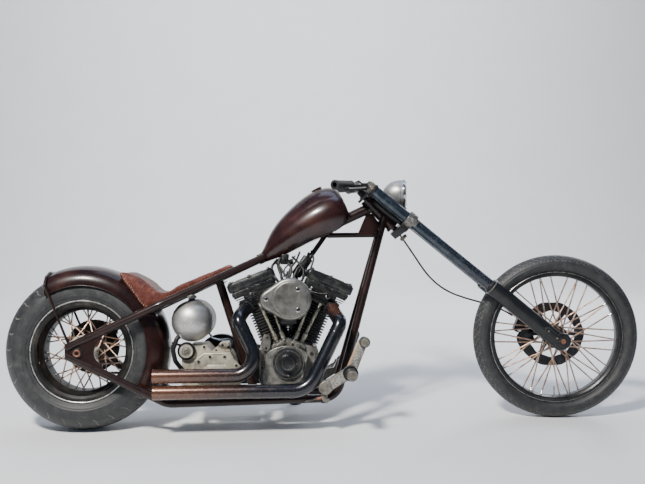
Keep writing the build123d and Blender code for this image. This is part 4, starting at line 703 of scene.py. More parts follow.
def arc3(p0, p1, p2, n):
    """n points from p0 to p2 on the circle through the three points, the first left out."""
    (ax, ay), (bx, by), (cx, cy) = p0, p1, p2
    d = 2 * (ax * (by - cy) + bx * (cy - ay) + cx * (ay - by))
    ux = ((ax * ax + ay * ay) * (by - cy) + (bx * bx + by * by) * (cy - ay) + (cx * cx + cy * cy) * (ay - by)) / d
    uy = ((ax * ax + ay * ay) * (cx - bx) + (bx * bx + by * by) * (ax - cx) + (cx * cx + cy * cy) * (bx - ax)) / d
    r = math.hypot(ax - ux, ay - uy)
    a0, a1, a2 = (math.atan2(q[1] - uy, q[0] - ux) for q in (p0, p1, p2))
    while a1 - a0 > math.pi: a1 -= 2 * math.pi
    while a1 - a0 < -math.pi: a1 += 2 * math.pi
    while a2 - a1 > math.pi: a2 -= 2 * math.pi
    while a2 - a1 < -math.pi: a2 += 2 * math.pi
    return [(ux + r * math.cos(a0 + (a2 - a0) * k / n), uy + r * math.sin(a0 + (a2 - a0) * k / n)) for k in range(1, n + 1)]


def ribbed(points, ribs):
    """Moves sidewall points out or in along y by the ribs: (radius, half width, height)."""
    out = []
    for y, r in points:
        d = 0.0
        for rr, w, h in ribs:
            d += h * math.exp(-((r - rr) / w) ** 2)
        out.append((y + d, r))
    return out


# rear tyre: wide, round shoulder, long wavy sipes
side_pts = [(86, 190), (86, 204)] + arc3((92, 209), (110, 248), (104, 272), 26) + arc3((104, 272), (87, 291.5), (66, 307), 13)
side_pts = [side_pts[0], side_pts[1]] + ribbed(side_pts[2:], [(213, 1.8, 1.4), (219, 1.8, -1.6), (234, 1.2, -1.2), (238, 1.6, 0.9), (258, 1.0, 0.8), (268, 1.4, -1.6), (272, 1.4, 0.8)])
crown = arc3((66, 307), (0, 327), (-66, 307), 40)[:20]
REAR_HALF = side_pts + crown


def rear_groove(a, y, r):
    ay = abs(y)
    n = 28
    side = 0.5 if y < 0 else 0.0
    path = side + 0.085 * (ay / 10.0) + 0.09 * math.sin(ay / 8.0)
    t = (a * n / (2 * math.pi) + path) % 1.0
    t = min(t, 1 - t) * 2 * math.pi * 318 / n
    depth = 2.4 * max(0.0, 1 - (t / 2.9) ** 2) if 16 < ay < 97 else 0.0
    t2 = (a * n / (2 * math.pi) + 0.5 + side + 0.085 * (ay / 10.0) + 0.07 * math.sin(ay / 6.0)) % 1.0
    t2 = min(t2, 1 - t2) * 2 * math.pi * 318 / n
    if 30 < ay < 62:
        depth = max(depth, 1.8 * max(0.0, 1 - (t2 / 2.4) ** 2))
    if abs(ay - 9) < 2.2:
        depth = max(depth, 2.0)
    return depth


tyre_mesh("rear_tyre_skin", "rear_wheel", REAR_C, REAR_HALF, 720, 274, rear_groove, 1.1, ("rear_tyre",))

side_pts = [(25, 264), (25, 277)] + arc3((30, 281), (45, 304), (38, 325.9), 30)
side_pts = side_pts[:2] + ribbed(side_pts[2:], [(284.5, 1.6, 0.9), (289, 1.3, -1.0), (309.5, 1.2, 1.0), (314, 1.2, -1.2)])
crown = arc3((38, 325.9), (0, 345), (-38, 325.9), 28)[:14]
FRONT_HALF = side_pts + crown


def front_groove(a, y, r):
    ay = abs(y)
    n = 68
    side = 0.5 if y < 0 else 0.0
    t = (a * n / (2 * math.pi) + side + 0.034 * ay + 0.16 * math.sin(ay / 5.0)) % 1.0
    t = min(t, 1 - t) * 2 * math.pi * 340 / n
    depth = 1.6 * max(0.0, 1 - (t / 2.0) ** 2) if 10 < ay < 40 else 0.0
    t2 = (a * 2 * n / (2 * math.pi) + side - 0.05 * ay) % 1.0
    t2 = min(t2, 1 - t2) * math.pi * 340 / n
    if 30 < ay < 41:
        depth = max(depth, 1.1 * max(0.0, 1 - (t2 / 1.8) ** 2))
    if abs(ay - 6.5) < 1.6:
        depth = max(depth, 1.6)
    return depth


tyre_mesh("front_tyre_skin", "front_wheel", FRONT_C, FRONT_HALF, 1088, 317, front_groove, 0.95, ("front_tyre",))

# bright rim lips and valves
p = Piece("rear_rim_lips", "rear_wheel", "rim_metal", M["lip"])
for s in (-1, 1):
    p.ring(REAR_C + Y * s * 92.8, Y, 206.0, 2.6, seg=128, sides=10)
    p.ring(REAR_C + Y * s * 91.4, Y, 197.6, 1.9, seg=128, sides=8)
p.build()
p = Piece("front_rim_lips", "front_wheel", "black_rim", M["lip"])
for s in (-1, 1):
    p.ring(FRONT_C + Y * s * 28.9, Y, 274.8, 2.0, seg=160, sides=10)
    p.ring(FRONT_C + Y * s * 28.0, Y, 262.4, 0.9, seg=144, sides=8)
p.build()
p = Piece("valve_stems", "rear_wheel", "hub_metal", M["bright"])
p.rod(REAR_C + Vector((0, 22, 168)), REAR_C + Vector((0, 24, 136)), 2.6, 12)
p.rod(REAR_C + Vector((0, 24, 137)), REAR_C + Vector((0, 24.6, 128)), 3.6, 12)
p.build()
p = Piece("front_valve_stem", "front_wheel", "hub_metal", M["bright"])
p.rod(FRONT_C + Vector((0, 10, -256)), FRONT_C + Vector((0, 10.5, -226)), 2.6, 12)
p.rod(FRONT_C + Vector((0, 10.5, -227)), FRONT_C + Vector((0, 10.8, -218)), 3.6, 12)
p.build()

# spoke nipples and the crossed spokes' heads at the flanges
SPOKE_SETS = [
    ("rear", "rear_wheel", REAR_C, 58.0, 167.5, [(s, l, s * (68 + 4.5 * l), s * (14 + 4.5 * l)) for s in (-1, 1) for l in (-1, 1)], 52),
    ("front", "front_wheel", FRONT_C, 37.0, 256.5, [(s, l, s * (33 + 4.0 * l), s * (5.5 + 4.0 * l)) for s in (-1, 1) for l in (-1, 1)], 58)]
for word, body, c, r0, r1, rows, turn in SPOKE_SETS:
    p = Piece(word + "_nipples", body, "spoke_steel", M["bright"])
    q = Piece(word + "_spoke_heads", body, "spoke_steel", M["copper"])
    for side, lead, hub_y, rim_y in rows:
        for k in range(10):
            a = math.radians(36 * k + (0 if lead > 0 else 18) + (9 if side > 0 else 0))
            b = a + lead * math.radians(turn)
            h = c + Vector((r0 * math.cos(a), hub_y, r0 * math.sin(a)))
            r = c + Vector((r1 * math.cos(b), rim_y, r1 * math.sin(b)))
            d = (r - h).normalized()
            p.lathe(r + d * 4, -d, [(4.4, 0), (4.4, 5), (3.4, 7), (3.2, 19), (2.3, 21)], 10)
            q.rod(h - Y * side * 4.0, h + Y * side * 4.5, 3.6, 10)
    p.build()
    q.build()

# hub trim: ribs, flange rings and the flange bolts
p = Piece("rear_hub_trim", "rear_wheel", "hub_metal", M["gear"])
for s in (-1, 1):
    p.lathe(REAR_C + Y * s * 72, Y * s, [(44, -1), (63, -1), (63.6, 0), (63, 2.2), (60, 3.0), (47, 3.0), (44, 6), (43.4, 26), (41, 28.6), (34, 29.4), (31, 33)], 64)
    for k in range(5):
        a = 2 * math.pi * k / 5
        p.bolt(REAR_C + Y * s * 100.5 + Vector((36 * math.cos(a), 0, 36 * math.sin(a))), Y * s, 8, 4)
p.ring(REAR_C, Y, 37, 3.2, 64, 10)
p.build()
# sprocket teeth
p = Piece("sprocket_teeth", "rear_wheel", "hub_metal", M["chain"])
teeth = 43
prof = []
for k in range(teeth * 4):
    a = 2 * math.pi * k / (teeth * 4)
    r = 108.2 if k % 4 in (1, 2) else 101.5
    prof.append((r * math.cos(a), r * math.sin(a)))
p.prism(REAR_C + Y * 124.6, Vector((1, 0, 0)), Vector((0, 0, 1)), Y, prof, 4.8, 0.6)
for k in range(6):
    a = 2 * math.pi * (k + 0.5) / 6
    p.cap_screw(REAR_C + Y * 129.6 + Vector((60 * math.cos(a), 0, 60 * math.sin(a))), Y, 6.5, 1.6)
p.build()

p = Piece("front_hub_trim", "front_wheel", "hub_metal", M["hub"])
for s in (-1, 1):
    p.lathe(FRONT_C + Y * s * 36, Y * s, [(29, -7), (40.5, -7), (41, -2.6), (47, -2.2), (47.6, -1.2), (47, 0.6), (45, 1.4), (39, 1.4), (31.5, 1.6), (30.5, 3), (30.3, 15), (28, 17.6), (23, 18.4), (22.3, 29), (19, 30.2), (13, 30.2)], 56)
p.ring(FRONT_C + Y * 8, Y, 26.5, 2, 48, 8)
p.ring(FRONT_C - Y * 8, Y, 26.5, 2, 48, 8)
p.build()
# brake disc: drilled ring with a star carrier bolted to the hub
p = Piece("front_disc_face", "front_wheel", "disc_steel", M["disc"], replaces=("front_disc",))
seg = 120
outer, inner = [], []
for k in range(seg):
    a = 2 * math.pi * k / seg
    wob = 2.2 * math.cos(a * 10)
    outer.append((a, 138.4 + wob))
    inner.append((a, 99.0 - wob))
rows = []
for rr, yy in ((0, 56.4), (0, 60.6), (1, 60.6), (1, 56.4)):
    src = outer if rr == 0 else inner
    rows.append([FRONT_C + Vector((r * math.cos(a), yy, r * math.sin(a))) for a, r in src])
p.grid(rows, wrap_cols=True, wrap_rows=True)
for k in range(6):
    a = 2 * math.pi * k / 6
    d, t = Vector((math.cos(a), 0, math.sin(a))), Vector((-math.sin(a), 0, math.cos(a)))
    p.prism(FRONT_C + Y * 56.2, d, t, Y, [(30, -11), (66, -6.5), (94, -8.5), (106, -12), (106, 12), (94, 8.5), (66, 6.5), (30, 11)], 4.6, 0.8)
    p.rod(FRONT_C + d * 107 + Y * 54.8, FRONT_C + d * 107 + Y * 62.2, 5.5, 16)
p.lathe(FRONT_C + Y * 56.2, Y, [(23, 0), (42, 0), (43, 0.8), (43, 4.4), (42, 5), (23, 5)], 64, closed=True)
p.build()
p = Piece("disc_bolts", "front_wheel", "disc_steel", M["bright"])
for k in range(6):
    a = 2 * math.pi * (k + 0.5) / 6
    p.cap_screw(FRONT_C + Y * 61.2 + Vector((33.5 * math.cos(a), 0, 33.5 * math.sin(a))), Y, 4.6, 4.5)
p.build()
# drill marks on the disc's faces, drawn as shallow black cups: the black is painted shade in place of the holes' depth
p = Piece("disc_hole_painted_shade", "front_wheel", "disc_steel", M["black"])
for k in range(36):
    a = 2 * math.pi * k / 36
    r = (114, 122, 130)[k % 3]
    for s, y0 in ((-1, 56.4), (1, 60.6)):
        p.lathe(FRONT_C + Vector((r * math.cos(a), y0, r * math.sin(a))), Y * s, [(0, 0.12), (3.6, 0.12), (3.9, -0.4)], 16)
p.build()

# axle ends
p = Piece("rear_axle_washers", "frame", "frame_paint", M["black"])
q = Piece("rear_axle_nuts", "frame", "frame_paint", M["copper"])
for s in (-1, 1):
    p.lathe(REAR_C + Y * s * 159.2, Y * s, [(0, 0), (19.6, 0), (20.3, 0.8), (20.3, 2.2), (19.5, 3), (0, 3.2)], 40)
    q.lathe(REAR_C + Y * s * 162.2, Y * s, [(0, 0), (15.4, 0), (15.4, 8.2), (13.6, 10.2), (9, 10.6), (8.2, 9.6), (0, 9.8)], 40)
p.build()
q.build()
p = Piece("front_axle_rings", "front_fork", "axle_steel", M["black"])
q = Piece("front_axle_caps", "front_fork", "axle_steel", M["copper"])
for s in (-1, 1):
    p.lathe(FRONT_C + Y * s * 142.6, Y * s, [(0, 0), (15.4, 0), (15.8, 0.8), (15.6, 3.6), (14.2, 4.8), (11.2, 4.8), (10.8, 3.4), (0, 3.0)], 40)
    q.lathe(FRONT_C + Y * s * 145.4, Y * s, [(0, 0), (10.2, 0), (10.2, 1.6), (9.4, 2.6), (5, 3.0), (4.4, 2.0), (0, 2.0)], 32)
p.build()
q.build()


# ================================================================ engine
def cyl_point(side, u, y, d):
    o, uu, w = cyl_frame(side, d)
    return o + uu * u + Vector((0, y, 0))


def rounded_rect(lx, ly, r, n=6):
    out = []
    for cx, cy, a0 in ((lx / 2 - r, ly / 2 - r, 0), (-lx / 2 + r, ly / 2 - r, 90), (-lx / 2 + r, -ly / 2 + r, 180), (lx / 2 - r, -ly / 2 + r, 270)):
        for k in range(n + 1):
            a = math.radians(a0 + 90 * k / n)
            out.append((cx + r * math.cos(a), cy + r * math.sin(a)))
    return out


p = Piece("rocker_gaskets", "frame", "bright_metal", M["edge"])
q = Piece("rocker_shells", "frame", "cover_paint", M["cover"])
b = Piece("rocker_bolts", "frame", "bright_metal", M["bright"])
for side in (-1, 1):
    o, uu, w = cyl_frame(side, 403.4)
    p.prism(o, uu, Vector((0, 1, 0)), w, rounded_rect(190, 162, 14), 1.3, 0.3)
    # rounded main cover with a slightly raised lid
    o, uu, w = cyl_frame(side, 407.5)
    q.prism(o, uu, Vector((0, 1, 0)), w, rounded_rect(206, 172, 16), 35.5, 7.5)
    o, uu, w = cyl_frame(side, 442)
    q.prism(o, uu, Vector((0, 1, 0)), w, rounded_rect(188, 154, 18), 5.5, 2.6)
    o, uu, w = cyl_frame(side, 446.5)
    q.prism(o, uu, Vector((0, 1, 0)), w, rounded_rect(120, 100, 20), 3.2, 1.6)
    for u in (-84, 0, 84):
        for y in (-74, 74):
            q.lathe(cyl_point(side, u, y, 440.5), w, [(12.5, 0), (12.2, 5.2), (10.6, 6.6), (0, 6.8)], 24)
            b.cap_screw(cyl_point(side, u, y, 447), w, 6.6, 6)
    # small cast feet under the lip
    for u in (-78, -26, 26, 78):
        for s in (-1, 1):
            q.prism(cyl_point(side, u, s * 80.5, 388), uu, Vector((0, s, 0)), w, [(-5, -1), (5, -1), (3.4, 2.4), (-3.4, 2.4)], 13, 0.8)
p.build()
q.build()
b.build()

# barrel base flanges, head bolts, spark plugs with their leads
p = Piece("barrel_flanges", "frame", "case_metal", M["alu"])
q = Piece("head_bolts", "frame", "bright_metal", M["bright"])
lead = Piece("plug_leads", "frame", "grip_rubber", M["hose"], sharp=0)
plug = Piece("spark_plugs", "frame", "bright_metal", M["bright"])
for side in (-1, 1):
    o, uu, w = cyl_frame(side, 148)
    p.prism(o, uu, Vector((0, 1, 0)), w, rounded_rect(126, 142, 26), 6, 1.5)
    for u in (-44, 44):
        for y in (-58, 58):
            q.bolt(cyl_point(side, u, y, 154), w, 13, 8)
    for u in (-66, -22, 22, 66):
        for y in (-84.5, 84.5):
            q.cap_screw(cyl_point(side, u, y * 0.93, 401.6), w, 4.2, 2.6)
    o2, _, _ = cyl_frame(side, 362)
    s = o2 + uu * (18 * side) + Vector((0, -77, 0))
    d = Vector((0.12 * side, -1, 0.34)).normalized()
    plug.lathe(s, d, [(9, 0), (9, 5), (10.5, 5.5), (10.5, 12), (6, 13)], 6)
    plug.rod(s + d * 12, s + d * 20, 5.5, 12)
    lead.rod(s + d * 18, s + d * 42, 8, 14)
    e = s + d * 40
    lead.pipe(arc_path([e, e + d * 10 + Vector((-side * 8, 0, 2)), e + Vector((-side * 44, 8, 6)), e + Vector((-side * 92, 26, 20)), Vector((845 + 14 * side, -52, 590)), Vector((852 + 14 * side, -30, 640))], 10, 6), 3.4, 10)
p.build()
q.build()
lead.build()
plug.build()

# pushrod tube collars, clips and tappet blocks
p = Piece("pushrod_collars", "frame", "bright_metal", M["aged"])
q = Piece("tappet_blocks", "frame", "case_metal", M["alu"])
b = Piece("tappet_bolts", "frame", "bright_metal", M["black"])
for x0, z0, x1, z1 in ((794, 346, 721, 511), (822, 353, 763, 527), (891, 344, 974, 504), (863, 351, 933, 522)):
    a, c = Vector((x0, -79, z0)), Vector((x1, -79, z1))
    d = (c - a).normalized()
    p.lathe(a + d * 2, d, [(6.6, 0), (11.0, 0), (11.4, 1), (11.4, 6), (10.4, 7.5), (6.6, 8)], 28)
    p.lathe(a + d * 41, d, [(6.5, 0), (9.8, 0.6), (10.0, 3), (9.4, 5.6), (6.5, 6.5)], 28)
    p.lathe(c - d * 34, d, [(6.5, 0), (8.4, 1), (8.6, 8), (7.9, 22), (6.5, 24)], 28)
    p.rod(a + d * 20 + Vector((0, -9.4, 0)), a + d * 44 + Vector((0, -7.8, 0)), 1.2, 8)
for cx, cz, side in ((800, 335, -1), (877, 335, 1)):
    w = Vector((side * 0.383, 0, 0.924))
    u = Vector((0.924, 0, -side * 0.383))
    q.prism(Vector((cx, -84, cz)) - w * 16, u, w, Vector((0, -1, 0)), [(-31, 0), (31, 0), (31, 20), (24, 30), (-24, 30), (-31, 20)], 17, 2)
    q.prism(Vector((cx, -99, cz)) - w * 12, u, w, Vector((0, -1, 0)), [(-10, 0), (10, 0), (10, 20), (-10, 20)], 6, 1.5)
    for k in (-1, 1):
        b.cap_screw(Vector((cx, -101, cz)) + u * (22 * k) - w * 4, Vector((0, -1, 0)), 4.6, 4)
# lifter housing at the rear of the case and its two screws
q.prism(Vector((733, -84, 318)), Vector((1, 0, 0)), Vector((0, 0, 1)), Vector((0, -1, 0)), [(0, 0), (26, -6), (34, 34), (28, 62), (6, 66), (-4, 40)], 20, 2.5)
for x, z in ((746, 328), (752, 370)):
    b.cap_screw(Vector((x, -104, z)), Vector((0, -1, 0)), 4.4, 4)
p.build()
q.build()
b.build()

# crankcase: ribs, parting line, bolts
p = Piece("case_ribs", "frame", "case_metal", M["case"])
b = Piece("case_bolts", "frame", "bright_metal", M["black"])
for s in (-1, 1):
    for a, c in (((722, 205), (733, 305)), ((742, 150), (716, 200)), ((954, 205), (945, 300)), ((905, 118), (948, 190)), ((775, 118), (738, 165))):
        A, C = Vector((a[0], s * 85, a[1])), Vector((c[0], s * 85, c[1]))
        p.pipe([A, A.lerp(C, 0.5), C], 4.2, 8)
    for x, z in ((741, 215), (749, 285), (730, 245), (765, 135), (838, 122), (905, 135), (941, 190), (946, 250), (932, 300)):
        p.lathe(Vector((x, s * 84, z)), Vector((0, s, 0)), [(10, 0), (9.4, 3.5), (0, 3.6)], 20)
        b.cap_screw(Vector((x, s * 87.4, z)), Vector((0, s, 0)), 5, 4)
p.pipe([Vector((772, 0, 111)), Vector((905, 0, 111)), Vector((958.5, 0, 200))], 3, 8)
p.build()
b.build()

# gear cover: bead round its edge, shiny ring of the nose, screws
p = Piece("cam_cover_trim", "frame", "cover_paint", M["case"])
b = Piece("cam_cover_screws", "frame", "bright_metal", M["bright"])
ring_pts = [Vector((x, -123.5, z)) for x, z in ((752, 308), (741, 249), (730, 190), (745, 168), (813, 168), (882, 168), (898, 234), (915, 300))]
arc = arc3((915, 300), (836, 333), (752, 308), 14)
p.pipe(ring_pts + [Vector((x, -123.5, z)) for x, z in arc[:-1]], 3.2, 8, closed=True)
p.build()
p = Piece("cam_cover_drum", "frame", "cover_paint", M["cover"])
p.lathe(Vector((835, -124, 268)), Vector((0, -1, 0)), [(66, 0), (66.5, 2), (64.5, 11.5), (62, 13.2), (52, 13.6), (50, 12.8), (48, 13.4), (36, 13.8), (34, 15)], 72)
p.build()
p = Piece("cam_nose", "frame", "bright_metal", M["cover"])
p.lathe(Vector((835, -137, 268)), Vector((0, -1, 0)), [(34.6, -0.4), (35, 1), (34.2, 3), (33.2, 3.6), (32.4, 17.2), (30.6, 20.2), (27, 21.2), (24, 21.4), (23.4, 20.4), (22, 20.6), (0, 21.4)], 64)
p.build()
for x, z in ((807, 266), (871, 264), (835, 218), (835, 316)):
    b.cap_screw(Vector((x if abs(x - 835) < 30 or x == 807 else x, -137.4, z)), Vector((0, -1, 0)), 3.6, 2.6)
for x, z in ((764, 296), (746, 196), (760, 178), (876, 178), (891, 230), (903, 290), (866, 318), (805, 320)):
    b.cap_screw(Vector((x, -124.6, z)), Vector((0, -1, 0)), 4.6, 3.6)
b.build()

# air cleaner: dished cover with a round raised face, dark body behind
cx, cz, cr, lx, lz, lr = 848.0, 527.0, 86.0, 768.0, 524.0, 43.0


def teardrop(off, n=96):
    """Outline of the cover, moved inwards by off."""
    R, r2 = cr - off, max(lr - off, 2.0)
    d = math.hypot(cx - lx, cz - lz)
    tilt = math.atan2(lz - cz, lx - cx)
    o = math.acos((R - r2) / d)
    pts = []
    for k in range(n):
        t = k / n
        if t < 0.62:
            a = tilt + o + (2 * math.pi - 2 * o) * (t / 0.62)
            pts.append((cx + R * math.cos(a), cz + R * math.sin(a)))
        elif t < 0.70:
            s = (t - 0.62) / 0.08
            a = tilt - o
            pts.append(((cx + R * math.cos(a)) * (1 - s) + (lx + r2 * math.cos(a)) * s, (cz + R * math.sin(a)) * (1 - s) + (lz + r2 * math.sin(a)) * s))
        elif t < 0.92:
            a = tilt - o + 2 * o * ((t - 0.70) / 0.22)
            pts.append((lx + r2 * math.cos(a), lz + r2 * math.sin(a)))
        else:
            s = (t - 0.92) / 0.08
            a = tilt + o
            pts.append(((lx + r2 * math.cos(a)) * (1 - s) + (cx + R * math.cos(a)) * s, (lz + r2 * math.sin(a)) * (1 - s) + (cz + R * math.sin(a)) * s))
    return pts


p = Piece("air_cleaner_cover", "frame", "aged_metal", M["aged"], sharp=50)
rows = []
for off, y in ((0.0, -152), (0.6, -153), (0.6, -168), (1.2, -172), (3.0, -177.5), (6.0, -181.5), (10.0, -184.6), (15.0, -186.4), (22.0, -187.4), (32.0, -188)):
    rows.append([Vector((x, y, z)) for x, z in teardrop(off)])
p.grid(rows, wrap_cols=True)
n0 = len(p.verts) - 96
mid = Vector((828, -188.4, 526))
p.verts.append(tuple(mid))
for k in range(96):
    p.faces.append((n0 + k, n0 + (k + 1) % 96, len(p.verts) - 1))
p.build()
p = Piece("air_cleaner_face", "frame", "aged_metal", M["aged"], sharp=50)
p.lathe(Vector((848, -184, 527)), Vector((0, -1, 0)), [(73.5, 0), (73, 2.0), (71.6, 4.2), (69, 5.6), (64, 6.2), (40, 6.6), (0, 6.8)], 96)
p.build()
p = Piece("air_cleaner_body", "frame", "cover_paint", M["fin"])
rows = [[Vector((x, y, z)) for x, z in teardrop(off)] for off, y in ((8, -123), (2.5, -124), (1.5, -126), (1.5, -149), (3.0, -151.5), (8, -152.5))]
p.grid(rows, wrap_cols=True)
p.build()
p = Piece("air_cleaner_screws", "frame", "bright_metal", M["black"])
q = Piece("air_cleaner_washers", "frame", "bright_metal", M["bright"])
for x, z, y in ((751, 530, -186.8), (879, 566, -190.2), (878, 484, -190.2)):
    q.lathe(Vector((x, y, z)), Vector((0, -1, 0)), [(9.5, -0.6), (9.6, 0.8), (8.6, 1.5), (5, 1.6)], 28)
    p.cap_screw(Vector((x, y - 1.0, z)), Vector((0, -1, 0)), 5.4, 3.6)
p.build()
q.build()

# carburettor body, intake hose and lines between tank and engine
p = Piece("carburettor", "frame", "case_metal", M["fin"])
p.lathe(Vector((838, -58, 500)), Vector((0, -1, 0)), [(26, 0), (33, 1), (34, 4), (34, 14), (30, 17), (30, 40), (34, 43), (36, 46), (36, 62), (30, 64)], 40)
p.prism(Vector((838, -96, 530)), Vector((1, 0, 0)), Vector((0, 1, 0)), Vector((0, 0, 1)), rounded_rect(52, 46, 10), 26, 3)
p.prism(Vector((838, -96, 556)), Vector((1, 0, 0)), Vector((0, 1, 0)), Vector((0, 0, 1)), rounded_rect(44, 38, 12), 14, 3)
p.prism(Vector((838, -84, 424)), Vector((1, 0, 0)), Vector((0, 1, 0)), Vector((0, 0, 1)), rounded_rect(78, 62, 16), 52, 5)
p.lathe(Vector((838, -84, 426)), Vector((0, 0, -1)), [(24, 0), (24, 6), (18, 9), (0, 9.4)], 36)
p.build()
p = Piece("carburettor_drain", "frame", "bright_metal", M["bright"])
p.bolt(Vector((838, -88, 417)), Vector((0, 0, -1)), 12, 8)
p.rod(Vector((838, -88, 408)), Vector((838, -88, 398)), 3.2, 12)
p.build()
# intake branch, oil lines and a black bracket across the space between the barrels; the black plate is partly a bracket
# and partly painted shade that fills the dark gap
p = Piece("bracket_and_painted_shade", "frame", "black_paint", M["black"])
p.prism(Vector((838, -12, 0)), Vector((1, 0, 0)), Vector((0, 0, 1)), Vector((0, 1, 0)), [(-26, 372), (26, 372), (62, 470), (66, 524), (-66, 524), (-62, 470)], 24, 3)
for x in (800, 876):
    p.lathe(Vector((x, -13, 500)), Vector((0, -1, 0)), [(13, 0), (13, 4), (8, 6), (0, 6)], 24)
p.build()
p = Piece("oil_lines", "frame", "grip_rubber", M["hose"], sharp=0)
for pts in ([(806, 20, 352), (800, -24, 388), (812, -34, 430), (826, -30, 470)], [(872, 24, 352), (878, -22, 392), (866, -34, 432), (852, -30, 470)], [(838, -30, 350), (842, -38, 384), (830, -42, 412), (836, -50, 440)]):
    p.pipe(arc_path(pts, 16, 5), 5.2, 12)
p.build()
p = Piece("throttle_linkage", "frame", "bright_metal", M["bright"])
p.rod((826, -92, 566), (862, -92, 604), 4, 12)
p.rod((852, -88, 592), (872, -84, 612), 7, 16)
p.lathe(Vector((846, -116, 574)), Vector((0, -1, 0)), [(12, 0), (13, 1), (13, 5), (8, 6), (0, 6)], 28)
p.build()
p = Piece("fuel_lines", "frame", "grip_rubber", M["hose"], sharp=0)
for pts, r, rad in (([(798, -36, 690), (776, -58, 664), (770, -70, 634), (790, -82, 612), (806, -84, 588)], 5.6, 22),
                    ([(786, -32, 682), (806, -62, 662), (826, -74, 628), (846, -84, 600), (856, -88, 584)], 5.0, 22),
                    ([(930, -26, 716), (912, -56, 672), (880, -70, 650), (864, -80, 616), (872, -86, 588)], 5.4, 22),
                    ([(860, -30, 700), (884, -62, 676), (908, -72, 640), (900, -80, 606), (880, -84, 580)], 4.6, 22),
                    ([(940, -20, 724), (950, -50, 690), (936, -60, 650), (930, -62, 614), (908, -70, 590)], 4.2, 22),
                    ([(822, -30, 704), (836, -58, 680), (856, -66, 656), (850, -78, 624), (838, -84, 596)], 5.8, 20),
                    ([(816, -38, 712), (806, -44, 690), (800, -50, 660), (812, -60, 626), (818, -76, 592)], 6.5, 24),
                    ([(892, -30, 720), (876, -52, 682), (848, -66, 648), (838, -80, 612), (836, -92, 572)], 4.2, 26),
                    ([(912, -24, 700), (922, -38, 664), (912, -52, 624), (896, -60, 592)], 3.8, 26),
                    ([(900, -20, 690), (896, -34, 656), (884, -52, 622), (872, -70, 590)], 3.8, 24),
                    ([(872, -20, 704), (852, -40, 676), (826, -46, 650), (824, -60, 616)], 3.2, 20)):
    p.pipe(arc_path(pts, rad, 5), r, 12)
p.build()
p = Piece("fuel_tap", "frame", "black_paint", M["black"])
p.prism(Vector((826, -52, 668)), Vector((1, 0, 0)), Vector((0, 1, 0)), Vector((0.1, 0, 1)), rounded_rect(34, 30, 8), 44, 4)
p.rod((826, -38, 700), (830, -34, 724), 9, 16)
p.rod((824, -66, 688), (822, -84, 688), 8, 16)
p.lathe(Vector((845, -44, 676)), Vector((1, -0.4, 0.3)), [(10, 0), (12, 1), (12, 16), (9, 18), (0, 18)], 24)
p.build()
# ignition coil under the backbone
p = Piece("coil", "frame", "black_paint", M["black"])
a0, d0 = Vector((878, -14, 618)), Vector((165, 0, 225)).normalized()
nrm = Vector((225, 0, -165)).normalized()
p.prism(a0 - nrm * 6, Vector((0, 1, 0)), nrm, d0, rounded_rect(54, 44, 12), 92, 4)
p.rod(a0 + d0 * 90 + Vector((0, -12, 0)), a0 + d0 * 108 + Vector((0, -12, 0)), 9, 16)
p.build()

# exhaust flanges and end rims
p = Piece("exhaust_flanges", "frame", "worn_metal", M["black"])
q = Piece("exhaust_shields", "frame", "pipe_metal", M["pipe"])
for a, c, e in ((Vector((676, -44, 508)), Vector((636, -155, 448)), Vector((738, -190, 229))), (Vector((1010, -44, 500)), Vector((1050, -155, 428)), Vector((913, -194, 164)))):
    d = (c - a).normalized()
    p.lathe(a + d * 30, d, [(28.6, 0), (33, 0), (33.6, 1), (33.6, 5), (32, 6.4), (28.7, 7)], 48)
    g = (e - c).normalized()
    q.lathe(c + g * 44, g, [(28.5, -1.2), (29.6, -0.6), (30.0, 1.2), (29.6, 3), (28.5, 3.8)], 56)
p.build()
q.build()
p = Piece("exhaust_ends", "frame", "pipe_metal", M["pipe"])
for y, z in ((-194, 233), (-194, 169)):
    p.lathe(Vector((301, y, z)), Vector((1, 0, 0)), [(26.0, 14), (26.0, 1.0), (27.2, 0), (28.0, 0.2), (28.6, 1.2), (28.6, 3)], 56)
p.build()

# gearbox: cover bolts, edge bead, ringed end of the cross shaft, bosses
p = Piece("gearbox_bolts", "frame", "black_paint", M["black"])
q = Piece("gearbox_beads", "frame", "gear_metal", M["gear"])
cover = [(460, 205), (460, 284), (498, 311), (592, 309), (640, 258), (640, 205)]
q.pipe([Vector((x, -123, z)) for x, z in cover], 3.4, 8, closed=True)
q.prism(Vector((548, -123.5, 0)), Vector((1, 0, 0)), Vector((0, 0, 1)), Vector((0, -1, 0)), [(-66, 214), (-60, 250), (-36, 268), (36, 266), (62, 240), (66, 214)], 8, 4)
for x, z in ((474, 281), (520, 299), (579, 298), (626, 262), (632, 222), (468, 222)):
    q.lathe(Vector((x, -123.5, z)), Vector((0, -1, 0)), [(10, 0), (9, 2.6), (0, 2.6)], 20)
    p.cap_screw(Vector((x, -125.4, z)), Vector((0, -1, 0)), 5.4, 3.4)
for x, z in ((566, 340), (590, 330), (540, 318)):
    p.cap_screw(Vector((x, -59.6, z)), Vector((0, -1, 0)), 5.4, 4)
for x, z in ((415, 200), (415, 290), (446, 333), (494, 336)):
    q.lathe(Vector((x, -87.5, z)), Vector((0, -1, 0)), [(10, 0), (9, 3), (0, 3)], 20)
    p.cap_screw(Vector((x, -90, z)), Vector((0, -1, 0)), 5.2, 3.6)
    q.lathe(Vector((x, 87.5, z)), Vector((0, 1, 0)), [(10, 0), (9, 3), (0, 3)], 20)
    p.cap_screw(Vector((x, 90, z)), Vector((0, 1, 0)), 5.2, 3.6)
p.build()
q.build()
p = Piece("shaft_drum", "frame", "black_paint", M["black"])
p.lathe(Vector((423, -88, 322)), Vector((0, -1, 0)), [(36, 0), (36.5, 2), (36.5, 15), (35, 17), (31.5, 17.4), (30, 16), (28, 15.6)], 56)
p.build()
p = Piece("shaft_end", "frame", "worn_metal", M["aged"])
